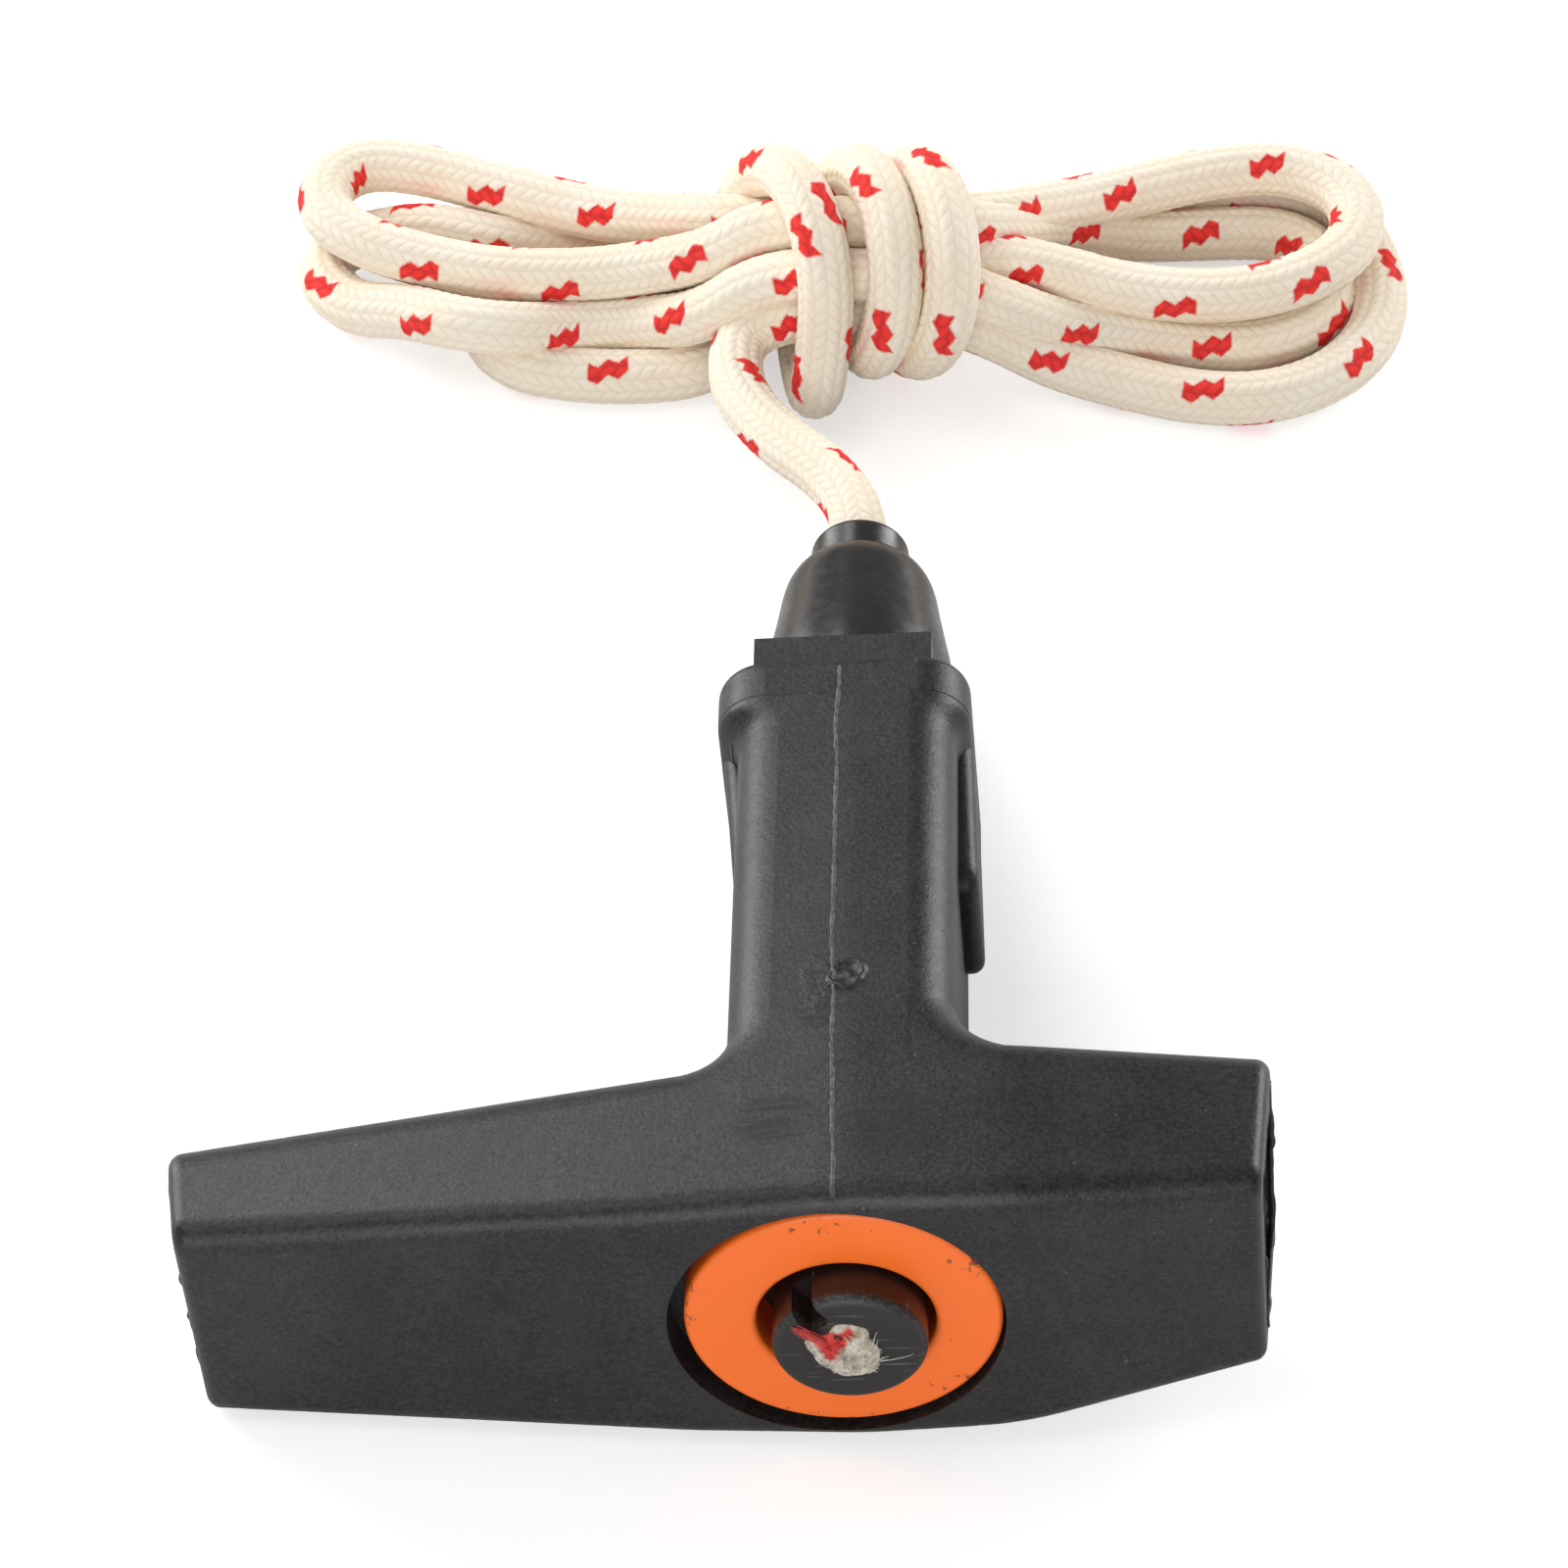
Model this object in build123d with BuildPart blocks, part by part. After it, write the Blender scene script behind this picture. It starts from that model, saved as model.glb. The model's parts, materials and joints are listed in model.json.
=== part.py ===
# Recoil starter handle with a spring damper inside, and its braided rope tied in a hank.
# The grip's pieces are drawn in the grip's own frame: +Y along the stem towards the engine,
# +X along the short arm, Z across the bar, zero on the palm face at the stem's axis. They are
# then laid on the floor the way the handle comes to rest, on its crest, its long arm and its collar.
# The finished part's frame has +Z up and its origin on the floor, under the middle of the handle.
# Millimetres throughout.
import os
from math import atan2, cos, degrees, pi, radians, sin, tan

from build123d import *

os.makedirs("parts", exist_ok=True)

# Bar, seen from above
palm_flat_left = 14.0          # flat of the palm face, left of the stem's axis
palm_flat_right = 14.5         # and right of it
long_arm_reach = 57.9          # reach of the long arm at its rear edge
long_arm_slant = 1.6           # and how much less at the palm edge
long_arm_sweep = 1.8           # how far the palm face falls back by the long arm's end
long_arm_depth = 11.9          # depth of the long arm at its end
short_arm_reach = 37.3
short_arm_slant = 1.4
short_arm_sweep = 3.6
short_arm_depth = 16.5
bar_rear_left = 18.5           # rear face beside the stem, left
bar_rear_right = 20.0          # and right

# Bar, seen from the palm side
crest_x = 1.0                  # where the bar is tallest
crest_half = 16.5              # half height there
shoulder_x = 14.5              # end of the crest on the short arm's side
shoulder_fall = 0.6            # how much lower the bar is there than at its crest
long_end_fall = 4.5            # and at the two arms' ends
short_end_fall = 4.2
crest_round = 40.0             # large rounds that blend the crest into the arms
palm_blend = 60.0              # and the flat of the palm face into its two slopes
arm_wall = 2.2
hollow_relief = 0.5            # more wall above and below, where the grip closes in
hollow_corner = 1.2
web = 2.4                      # wall between an arm's hollow and the palm recess
palm_edge_round = 2.4
rear_edge_round = 4.2
end_rim_round = 1.3            # outer edge of the arms' open ends

# Stem
stem_left = 9.6                # side of the stem, left of its axis
stem_right = 10.3
stem_length = 68.2             # palm face to the end face
stem_end_half = 13.1           # the whole grip closes in towards the stem's end
arm_draft = 0.97               # what is left of the arms' half height at that distance
crotch_left = 4.5              # round between the stem and the long arm
crotch_right = 5.5

# Collar, side tongues and fork at the stem's end
collar_width = 23.2
collar_half = 13.3
collar_length = 7.2
collar_corner = 4.6
collar_lip = 1.5
collar_fade = 2.2              # length of the slope at the collar's back
collar_slope = 1.3             # and its height
tongue_reach = 23.4            # from the end face back along the stem
tongue_height = 13.6
tongue_end_left = 0.3          # how far each tongue stands out of the stem where it ends
tongue_end_right = 1.8
tongue_round = 1.2
tongue_end_round = 2.6
fork_width = 16.3              # two flat tabs above and below the nipple
fork_length = 3.2
fork_thickness = 2.9
fork_drop = 0.8                # below the collar's top
fork_root = 1.0                # how far the tabs reach into the end face

# Palm recess, ring and bores
recess_diameter = 29.0
recess_depth = 3.8
recess_shift = -0.6            # the recess sits a little to the left of the ring
ring_diameter = 27.3
ring_sink = 0.5                # ring's face below the palm face
ring_hole = 15.4
ring_hole_side = 0.2           # the hole sits a little off the ring's middle, to the right
ring_hole_drop = 0.5           # and below it
ring_edge = 0.6
hub_bore = 19.6                # room for the ring's hub and the plug's flange
hub_length = 2.0
hub_gap = 0.05                 # the ring's hub is pushed into its bore
seat_gap = 0.1                 # between the plug's flange and the ring's back at rest
flange_travel = 9.0            # how far the rope pulls the plug against the spring

# Rope line: plug, spring, rope and nipple share an axis beside the ring's own
line_x = 0.6
rope_diameter = 5.5
plug_diameter = 13.3
plug_proud = 3.4               # plug's face beyond the ring's
plug_rim = 1.0
plug_flange_diameter = 18.0
plug_flange_thickness = 2.2
plug_spigot_diameter = 10.2
plug_spigot_length = 6.0
plug_slot_width = 2.2
plug_slot_depth = 2.2
plug_slot_angle = 125.0        # up and to the left on the plug's side
plug_well_diameter = 7.6       # shallow well round the rope's frayed end
plug_well_depth = 0.8
rope_slip = 0.06               # between the rope and the plug's bore
fray_diameter = 6.8
fray_height = 1.8
fray_edge = 0.8
spring_bore = 16.0
spring_outside = 14.8
spring_wire = 1.8
spring_turns = 8.5
spring_gap = 0.1               # end play of the spring between its seats

# Nipple
nipple_base = 18.8             # diameter at the end face
nipple_bulge = 17.6
nipple_mid = 15.4
nipple_shoulder = 13.2
nipple_tip = 9.4
nipple_bulge_at = 10.5         # places along the nipple, from the end face
nipple_mid_at = 17.6
nipple_shoulder_at = 22.0
nipple_tip_at = 23.8
nipple_length = 27.4
nipple_tip_round = 0.7
nipple_bore = 6.2
nipple_mouth = 0.6             # flare where the rope leaves
nipple_shank_length = 7.0
shank_gap = 0.1
leg_width = 7.0                # two legs that snap into the tongues
leg_thickness = 1.4
leg_length = 15.0
barb_height = 0.6
barb_length = 2.6
leg_gap = 0.15

# Rope outside the handle, measured from the point where it leaves the nipple
waist_side = -0.3              # middle of the wraps, to the side
waist_ahead = 40.5             # and ahead
waist_half = 12.0              # half length of the three wraps
waist_diameter = 24.4
waist_round = 2.4
# Stations of the hank's lobes: reach from the waist, middle ahead of it, width, bottom, top
left_lobe = (
    (10.0, 0.0, 15.4, 5.6, 18.6),
    (25.0, 2.4, 25.2, 0.8, 11.8),
    (43.0, 7.0, 27.0, 0.2, 10.8),
    (59.0, 12.0, 13.0, 0.4, 10.4),
)
right_lobe = (
    (8.0, 0.0, 15.4, 5.6, 18.6),
    (23.0, 4.6, 25.4, 0.8, 11.8),
    (39.0, 6.1, 34.0, 0.2, 10.8),
    (56.0, 7.6, 16.0, 0.4, 10.4),
)
lobe_round = 4.4
# Points of the loose stretch, from the exit to where it dives under the first wrap
lead_start = 5.0               # straight out of the nipple
lead_steps = (
    (-3.6, 11.8, -1.4),
    (-8.4, 17.8, -2.8),
    (-12.2, 24.2, -2.4),
    (-12.4, 30.6, 0.4),
    (-8.3, 35.6, 3.2),
)

# Sizes that follow
shoulder_half = crest_half - shoulder_fall
stem_end = stem_length - collar_lip
long_arm_front = long_arm_reach - long_arm_slant
short_arm_front = short_arm_reach - short_arm_slant
ring_back = recess_depth + hub_length
flange_front = ring_back + seat_gap
flange_back = flange_front + plug_flange_thickness
plug_face = ring_sink - plug_proud
hub_bore_end = flange_back + flange_travel + seat_gap
shank_face = stem_length - nipple_shank_length
spring_start = flange_back + spring_gap
spring_end = shank_face - spring_gap
tip_face = stem_length + nipple_length
hollow_left = recess_diameter / 2 - recess_shift + web
hollow_right = recess_diameter / 2 + recess_shift + web
leg_inner = spring_bore / 2 + leg_gap
leg_outer = leg_inner + leg_thickness
barb_outer = leg_outer + barb_height
core = Axis((line_x, 0, 0), (0, 1, 0))

# Lie of the handle: the long arm's underside and the collar's lower corner both touch the floor
roll = degrees(atan2(long_end_fall, crest_x + long_arm_reach))
roll_cos = cos(radians(roll))
roll_sin = sin(radians(roll))
belly_drop = crest_half * roll_cos - crest_x * roll_sin
corner_drop = (collar_half - collar_corner) * roll_cos + collar_corner
corner_drop += (collar_width / 2 - collar_corner) * roll_sin
corner_run = stem_length - collar_lip - (bar_rear_left - rear_edge_round)
pitch = degrees(atan2(belly_drop - corner_drop, corner_run))
lie = Location((0, 0, 0), (-pitch, 0, 0)) * Location((0, 0, 0), (0, -roll, 0))


# Bar's outline from above, with its ends carried on by a stretch
def bar_plan(stretch):
    left_slope = long_arm_sweep / (long_arm_front - palm_flat_left)
    right_slope = short_arm_sweep / (short_arm_front - palm_flat_right)
    long_rear = long_arm_sweep + long_arm_depth
    short_rear = short_arm_sweep + short_arm_depth
    left_taper = (bar_rear_left - long_rear) / (long_arm_reach - stem_left)
    right_taper = (bar_rear_right - short_rear) / (short_arm_reach - stem_right)
    return [
        (-stem_left, bar_rear_left),
        (-long_arm_reach - stretch, long_rear - stretch * left_taper),
        (-long_arm_front - stretch, long_arm_sweep + stretch * left_slope),
        (-palm_flat_left, 0),
        (palm_flat_right, 0),
        (short_arm_front + stretch, short_arm_sweep + stretch * right_slope),
        (short_arm_reach + stretch, short_rear - stretch * right_taper),
        (stem_right, bar_rear_right),
    ]


# Outline across the handle, from half heights at its far left, crest, shoulder and far right
def across(halves):
    places = (-section_reach, crest_x, shoulder_x, section_reach)
    top = list(zip(places, halves))
    return top + [(x, -z) for x, z in reversed(top)]


# The palm's section reaches past both arms, so that their hollows can run out through the ends
past_end = 12.0
section_reach = max(long_arm_reach, short_arm_reach) + past_end
long_slope = long_end_fall / (crest_x + long_arm_reach)
short_slope = (short_end_fall - shoulder_fall) / (short_arm_reach - shoulder_x)
long_far_half = crest_half - (section_reach + crest_x) * long_slope
short_far_half = shoulder_half - (section_reach - shoulder_x) * short_slope
palm_halves = (long_far_half, crest_half, shoulder_half, short_far_half)
end_halves = (long_far_half * arm_draft, stem_end_half, stem_end_half, short_far_half * arm_draft)

# Hollows of the two arms: the bar's outlines moved in by the wall, short of the palm recess
with BuildPart() as arm_hollows:
    with BuildSketch():
        with BuildLine():
            Polyline(*bar_plan(past_end), close=True)
        make_face()
        offset(amount=-arm_wall, kind=Kind.INTERSECTION)
    extrude(amount=crest_half, both=True)
    with BuildSketch(Plane.XZ):
        with BuildLine():
            Polyline(*across(palm_halves), close=True)
        make_face()
        offset(amount=-arm_wall - hollow_relief, kind=Kind.INTERSECTION)
    extrude(amount=stem_length, both=True, mode=Mode.INTERSECT)
    with BuildSketch(Plane.XZ):
        with Locations(((hollow_right - hollow_left) / 2, 0)):
            Rectangle(hollow_left + hollow_right, 3 * crest_half)
    extrude(amount=stem_length, both=True, mode=Mode.SUBTRACT)
    fillet([e for e in edges() if abs(e.tangent_at(0.5).X) > 0.9], hollow_corner)

# Envelope of the grip: its section at the palm, drawn in towards the stem's end
with BuildPart() as grip_envelope:
    for plane, halves in ((Plane.XZ, palm_halves), (Plane.XZ.offset(-stem_length), end_halves)):
        with BuildSketch(plane):
            with BuildLine():
                Polyline(*across(halves), close=True)
            make_face()
            fillet([v for v in vertices() if abs(v.X) < section_reach - 1], crest_round)
    loft(ruled=True)

# Grip: one hollow moulding with a bar, a stem, a collar, two side tongues and a fork
with BuildPart() as grip_body:
    with BuildSketch():
        with BuildLine():
            Polyline((stem_right, stem_end), (-stem_left, stem_end), *bar_plan(0), close=True)
        make_face()
        fillet([v for v in vertices() if v.X == -stem_left and v.Y < stem_end], crotch_left)
        fillet([v for v in vertices() if v.X == stem_right and v.Y < stem_end], crotch_right)
        fillet([v for v in vertices() if abs(v.Y) < 0.01], palm_blend)
    extrude(amount=crest_half, both=True)
    add(grip_envelope.part, mode=Mode.INTERSECT)

    # Long edges: a small round along the palm, a larger one along the rear and the stem
    def between_ends(edge):
        xs = [v.X for v in edge.vertices()]
        ys = [v.Y for v in edge.vertices()]
        across_end = max(xs) < 0.01 - long_arm_front or min(xs) > short_arm_front - 0.01
        return not across_end and min(ys) < stem_end - 0.01 and abs(edge.center().Z) > stem_end_half / 2

    palm_depth = max(long_arm_sweep, short_arm_sweep) + 0.1
    rim = [e for e in edges() if between_ends(e) and max(v.Y for v in e.vertices()) < palm_depth]
    fillet(rim, palm_edge_round)
    rear_start = palm_depth + palm_edge_round
    rim = [e for e in edges() if between_ends(e) and min(v.Y for v in e.vertices()) > rear_start]
    fillet(rim, rear_edge_round)
    fillet(faces().sort_by(Axis.X)[0].edges(), end_rim_round)
    fillet(faces().sort_by(Axis.X)[-1].edges(), end_rim_round)

    # Collar round the stem's end, sloping down to the stem at its back
    with BuildPart(mode=Mode.PRIVATE) as collar:
        with BuildSketch(Plane.XZ.offset(-stem_length)):
            RectangleRounded(collar_width, 2 * collar_half, collar_corner)
        extrude(amount=collar_length)
        fillet(faces().sort_by(Axis.Y)[-1].edges(), collar_lip)
        back = faces().sort_by(Axis.Y)[0]
        chamfer(back.edges(), collar_slope, collar_fade, reference=back)
    add(collar.part)

    # Tongues that run back from the collar along the stem's two sides, leaning to the right
    with BuildPart(mode=Mode.PRIVATE) as tongues:
        tongue_start = stem_length - tongue_reach
        with BuildSketch():
            with BuildLine():
                Polyline(
                    (-stem_left - tongue_end_left, tongue_start),
                    (-collar_width / 2, stem_end),
                    (collar_width / 2, stem_end),
                    (stem_right + tongue_end_right, tongue_start),
                    close=True,
                )
            make_face()
        extrude(amount=tongue_height / 2, both=True)
        fillet(faces().sort_by(Axis.Y)[0].edges().filter_by(Axis.X), tongue_end_round)
        sides = faces().sort_by(Axis.X)
        rim = [e for e in sides[0].edges() + sides[-1].edges() if e.center().Y < stem_end - 0.01]
        fillet(rim, tongue_round)
    add(tongues.part)

    # Fork beyond the end face
    with BuildSketch(Plane.XZ.offset(fork_root - stem_length)):
        middle = collar_half - fork_drop - fork_thickness / 2
        with Locations((0, middle), (0, -middle)):
            Rectangle(fork_width, fork_thickness)
    extrude(amount=-fork_root - fork_length)

    # Hollows, palm recess, and the stepped bore for the hub, the flange and the spring
    add(arm_hollows.part, mode=Mode.SUBTRACT)
    with BuildSketch(Plane.XZ):
        with Locations((recess_shift, 0)):
            Circle(recess_diameter / 2)
    extrude(amount=-recess_depth, mode=Mode.SUBTRACT)
    with BuildSketch(Plane.XZ):
        Circle(hub_bore / 2)
    extrude(amount=-hub_bore_end, mode=Mode.SUBTRACT)
    with BuildSketch(Plane.XZ):
        with Locations((line_x, 0)):
            Circle(spring_bore / 2)
    extrude(amount=-stem_length - fork_length, mode=Mode.SUBTRACT)

    # Pockets for the nipple's snap legs
    with BuildSketch(Plane.XZ.offset(-stem_length)):
        with Locations((line_x, 0)):
            Rectangle(2 * (leg_outer + leg_gap), leg_width + 2 * leg_gap)
    extrude(amount=leg_length + leg_gap, mode=Mode.SUBTRACT)
    with BuildSketch(Plane.XZ.offset(leg_length + leg_gap - stem_length)):
        with Locations((line_x, 0)):
            Rectangle(2 * (barb_outer + leg_gap), leg_width + 2 * leg_gap)
    extrude(amount=-barb_length - 2 * leg_gap, mode=Mode.SUBTRACT)

# Ring that closes the recess and keeps the plug's flange in
with BuildPart() as retaining_ring:
    with BuildSketch(Plane.XZ.offset(-ring_sink)):
        Circle(ring_diameter / 2)
    extrude(amount=ring_sink - recess_depth)
    with BuildSketch(Plane.XZ.offset(-recess_depth)):
        Circle(hub_bore / 2 - hub_gap)
    extrude(amount=-hub_length)
    with BuildSketch(Plane.XZ):
        with Locations((ring_hole_side, -ring_hole_drop)):
            Circle(ring_hole / 2)
    extrude(amount=-ring_back, mode=Mode.SUBTRACT)
    fillet(faces().sort_by(Axis.Y)[0].edges(), ring_edge)

# Plug that the rope's end is held in, with a flange behind the ring and a spigot in the spring
with BuildPart() as rope_plug:
    with BuildSketch():
        with BuildLine():
            inner = rope_diameter / 2 + rope_slip
            Polyline(
                (line_x + inner, plug_face),
                (line_x + plug_diameter / 2, plug_face),
                (line_x + plug_diameter / 2, flange_front),
                (line_x + plug_flange_diameter / 2, flange_front),
                (line_x + plug_flange_diameter / 2, flange_back),
                (line_x + plug_spigot_diameter / 2, flange_back),
                (line_x + plug_spigot_diameter / 2, flange_back + plug_spigot_length),
                (line_x + inner, flange_back + plug_spigot_length),
                close=True,
            )
        make_face()
    revolve(axis=core)
    fillet(edges().group_by(Axis.Y)[0].sort_by(SortBy.LENGTH)[-1], plug_rim)
    with BuildSketch(Plane.XZ.offset(-plug_face)):
        with Locations((line_x, 0)):
            Circle(plug_well_diameter / 2)
    extrude(amount=-plug_well_depth, mode=Mode.SUBTRACT)
    with BuildSketch(Plane.XZ.offset(-plug_face)):
        middle = plug_diameter / 2 - plug_slot_depth / 2
        turn = radians(plug_slot_angle)
        with Locations(Location((line_x + middle * cos(turn), middle * sin(turn)), plug_slot_angle)):
            Rectangle(plug_slot_depth + plug_rim, plug_slot_width)
    extrude(amount=plug_face - ring_sink, mode=Mode.SUBTRACT)

# Damper spring between the plug's flange and the nipple's shank
with BuildPart() as damper_spring:
    with BuildLine():
        run = spring_end - spring_start - spring_wire
        coil = Helix(
            pitch=run / spring_turns,
            height=run,
            radius=(spring_outside - spring_wire) / 2,
            center=(line_x, spring_start + spring_wire / 2, 0),
            direction=(0, 1, 0),
        )
    with BuildSketch(Plane(origin=coil @ 0, z_dir=coil % 0)):
        Circle(spring_wire / 2)
    sweep(is_frenet=True)

# Nipple: a glossy cone on a shank, held in the stem's end by two snap legs
with BuildPart() as nipple:
    with BuildSketch():
        with BuildLine():
            base = (line_x + nipple_base / 2, stem_length)
            tip_start = (line_x + nipple_tip / 2, stem_length + nipple_tip_at)
            Polyline(
                base,
                (line_x + spring_bore / 2 - shank_gap, stem_length),
                (line_x + spring_bore / 2 - shank_gap, shank_face),
                (line_x + nipple_bore / 2, shank_face),
                (line_x + nipple_bore / 2, tip_face),
                (line_x + nipple_tip / 2, tip_face),
                tip_start,
            )
            Spline(
                tip_start,
                (line_x + nipple_shoulder / 2, stem_length + nipple_shoulder_at),
                (line_x + nipple_mid / 2, stem_length + nipple_mid_at),
                (line_x + nipple_bulge / 2, stem_length + nipple_bulge_at),
                base,
            )
        make_face()
    revolve(axis=core)
    mouth = edges().group_by(Axis.Y)[-1].sort_by(SortBy.LENGTH)
    fillet(mouth[-1], nipple_tip_round)
    fillet(edges().group_by(Axis.Y)[-1].sort_by(SortBy.LENGTH)[0], nipple_mouth)
    with BuildSketch(Plane.XZ.offset(-stem_length)):
        with Locations((line_x, 0)):
            Rectangle(2 * leg_outer, leg_width)
            Rectangle(2 * leg_inner, leg_width, mode=Mode.SUBTRACT)
    extrude(amount=leg_length)
    with BuildSketch(Plane.XZ.offset(leg_length - stem_length)):
        with Locations((line_x, 0)):
            Rectangle(2 * barb_outer, leg_width)
            Rectangle(2 * leg_inner, leg_width, mode=Mode.SUBTRACT)
    extrude(amount=-barb_length)
    with BuildSketch(Plane.XZ.offset(-stem_length)):
        with Locations((line_x, 0)):
            Rectangle(2 * leg_outer, leg_width)
            Circle(spring_bore / 2 - shank_gap - 1, mode=Mode.SUBTRACT)
    extrude(amount=nipple_shank_length)

# Rope inside the handle, from its frayed end in the plug to the nipple's mouth
with BuildPart() as rope_core:
    with BuildSketch():
        with BuildLine():
            well = plug_face + plug_well_depth
            Polyline(
                (line_x, well - fray_height),
                (line_x + fray_diameter / 2, well - fray_height),
                (line_x + fray_diameter / 2, well),
                (line_x + rope_diameter / 2, well),
                (line_x + rope_diameter / 2, tip_face),
                (line_x, tip_face),
                close=True,
            )
        make_face()
    revolve(axis=core)
    fillet(edges().group_by(Axis.Y)[0], fray_edge)

# The handle is laid down and its middle is brought over the origin, on the floor
handle = {
    "grip_body": grip_body,
    "retaining_ring": retaining_ring,
    "rope_plug": rope_plug,
    "damper_spring": damper_spring,
    "nipple": nipple,
    "rope_core": rope_core,
}
box = Compound(children=[piece.part.moved(lie) for piece in handle.values()]).bounding_box()
rest = Location((-box.center().X, -box.center().Y, -box.min.Z)) * lie
rope_exit = (rest * Location((line_x, tip_face, 0))).position
rope_ahead = ((rest * Location((line_x, tip_face + 1, 0))).position - rope_exit).normalized()


# Largest round that two runs of a route leave room for at each corner
def corner_rounds(points):
    rounds = []
    for before, corner, after in zip(points, points[1:], points[2:]):
        turn = radians((corner - before).get_angle(after - corner))
        shorter = min((corner - before).length, (after - corner).length)
        rounds.append(0.45 * shorter / tan(turn / 2))
    return rounds


# Loose stretch of rope between the nipple and the hank
lead_points = [rope_exit, rope_exit + rope_ahead * lead_start]
lead_points += [rope_exit + Vector(*step) for step in lead_steps]
lead_rounds = corner_rounds(lead_points)
with BuildPart() as rope_lead:
    with BuildLine():
        lead_line = FilletPolyline(*lead_points, radius=lead_rounds)
    with BuildSketch(Plane(origin=lead_line @ 0, z_dir=lead_line % 0)):
        Circle(rope_diameter / 2)
    sweep()
lead_volume = pi * rope_diameter**2 / 4 * lead_line.length
print("rope exit, mm:", [round(v, 2) for v in rope_exit], "direction:", [round(v, 4) for v in rope_ahead])
print("lead length, mm:", round(lead_line.length, 1), "rounds, mm:", [round(r, 1) for r in lead_rounds])
print("lead volume over section times length:", round(rope_lead.part.volume / lead_volume, 3))

# Hank: two flat lobes of looped rope with three wraps round its waist
waist_x = rope_exit.X + waist_side
waist_y = rope_exit.Y + waist_ahead
with BuildPart() as rope_hank:
    for side, stations in ((-1, left_lobe), (1, right_lobe)):
        for reach, ahead, width, bottom, top in stations:
            centre = (waist_x + side * reach, waist_y + ahead, (bottom + top) / 2)
            with BuildSketch(Plane(origin=centre, x_dir=(0, 1, 0), z_dir=(1, 0, 0))):
                RectangleRounded(width, top - bottom, lobe_round)
        loft()
    waist = (waist_x, waist_y, waist_diameter / 2)
    with BuildSketch(Plane(origin=waist, x_dir=(0, 1, 0), z_dir=(1, 0, 0))):
        Circle(waist_diameter / 2)
    extrude(amount=waist_half, both=True)
    wraps = [e for e in edges().filter_by(GeomType.CIRCLE) if e.radius > waist_diameter / 2 - 0.01]
    fillet(wraps, waist_round)

# Files, one for each piece
laid = {name: piece.part.moved(rest) for name, piece in handle.items()}
laid["rope_lead"] = rope_lead.part
laid["rope_hank"] = rope_hank.part
for name, piece in laid.items():
    piece.label = name
    export_step(piece, f"parts/{name}.step")
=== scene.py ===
# A recoil starter handle with its braided rope tied in a hank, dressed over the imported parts.
# Sizes are in millimetres unless a note says otherwise.
import json
import math

import bpy
import numpy as np
from mathutils import Matrix, Vector
from mathutils.bvhtree import BVHTree


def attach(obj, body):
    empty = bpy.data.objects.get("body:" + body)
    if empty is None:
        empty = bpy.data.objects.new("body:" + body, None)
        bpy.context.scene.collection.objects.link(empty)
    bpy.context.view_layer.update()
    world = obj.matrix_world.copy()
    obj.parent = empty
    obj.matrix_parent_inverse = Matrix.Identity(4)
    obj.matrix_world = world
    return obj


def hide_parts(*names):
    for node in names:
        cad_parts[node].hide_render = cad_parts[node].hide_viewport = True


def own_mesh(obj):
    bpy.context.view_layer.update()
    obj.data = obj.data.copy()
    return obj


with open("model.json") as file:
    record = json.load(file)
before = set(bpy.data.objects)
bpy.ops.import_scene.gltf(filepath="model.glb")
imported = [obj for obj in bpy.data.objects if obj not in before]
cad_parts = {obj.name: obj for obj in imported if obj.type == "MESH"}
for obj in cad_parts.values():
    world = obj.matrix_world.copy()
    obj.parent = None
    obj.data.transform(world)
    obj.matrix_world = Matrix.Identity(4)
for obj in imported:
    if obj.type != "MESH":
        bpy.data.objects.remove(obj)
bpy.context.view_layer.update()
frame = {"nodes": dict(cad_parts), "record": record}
nodes = frame["nodes"]
mounts = {mount["name"]: mount for mount in frame["record"]["mounts"]}
mm = 0.001
turn = 2 * math.pi

# Where the handle lies.
# The grip's own axes: x along the short arm, y along the stem towards the engine, z across.
# Its zero is on the palm face, at the stem's axis.
lieOfGrip = {
    "roll": 4.369,         # degrees, how far the short arm is lifted off the floor
    "ropeSide": 0.6,       # the rope's line beside the stem's axis
    "ropeLength": 95.6,    # palm face to the nipple's mouth
}
ropeExit = np.array(mounts["bush_seat"]["pos_m"]) / mm
ahead = np.array(mounts["bush_seat"]["axis"])
lift = math.radians(lieOfGrip["roll"])
sideways = np.array([math.cos(lift), -math.sin(lift) * ahead[2], math.sin(lift) * ahead[1]])
upwards = np.cross(sideways, ahead)
gripZero = ropeExit - sideways * lieOfGrip["ropeSide"] - ahead * lieOfGrip["ropeLength"]


def gripPlace(x, y, z):
    # a place in the grip's own axes, as a place in the room: the zero plus a share of each axis
    x, y, z = np.broadcast_arrays(x, y, z)
    return gripZero + x[..., None] * sideways + y[..., None] * ahead + z[..., None] * upwards


cameraView = {
    "floorSpot": (-7.0, -18.9),  # from the nipple's mouth to where the middle of the picture meets the floor
    "distance": 584.8,
    "elevation": 48.45,          # degrees above the floor
    "azimuth": 0.965,
    "roll": 0.054,
    "lens": 140.42,
}


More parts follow.
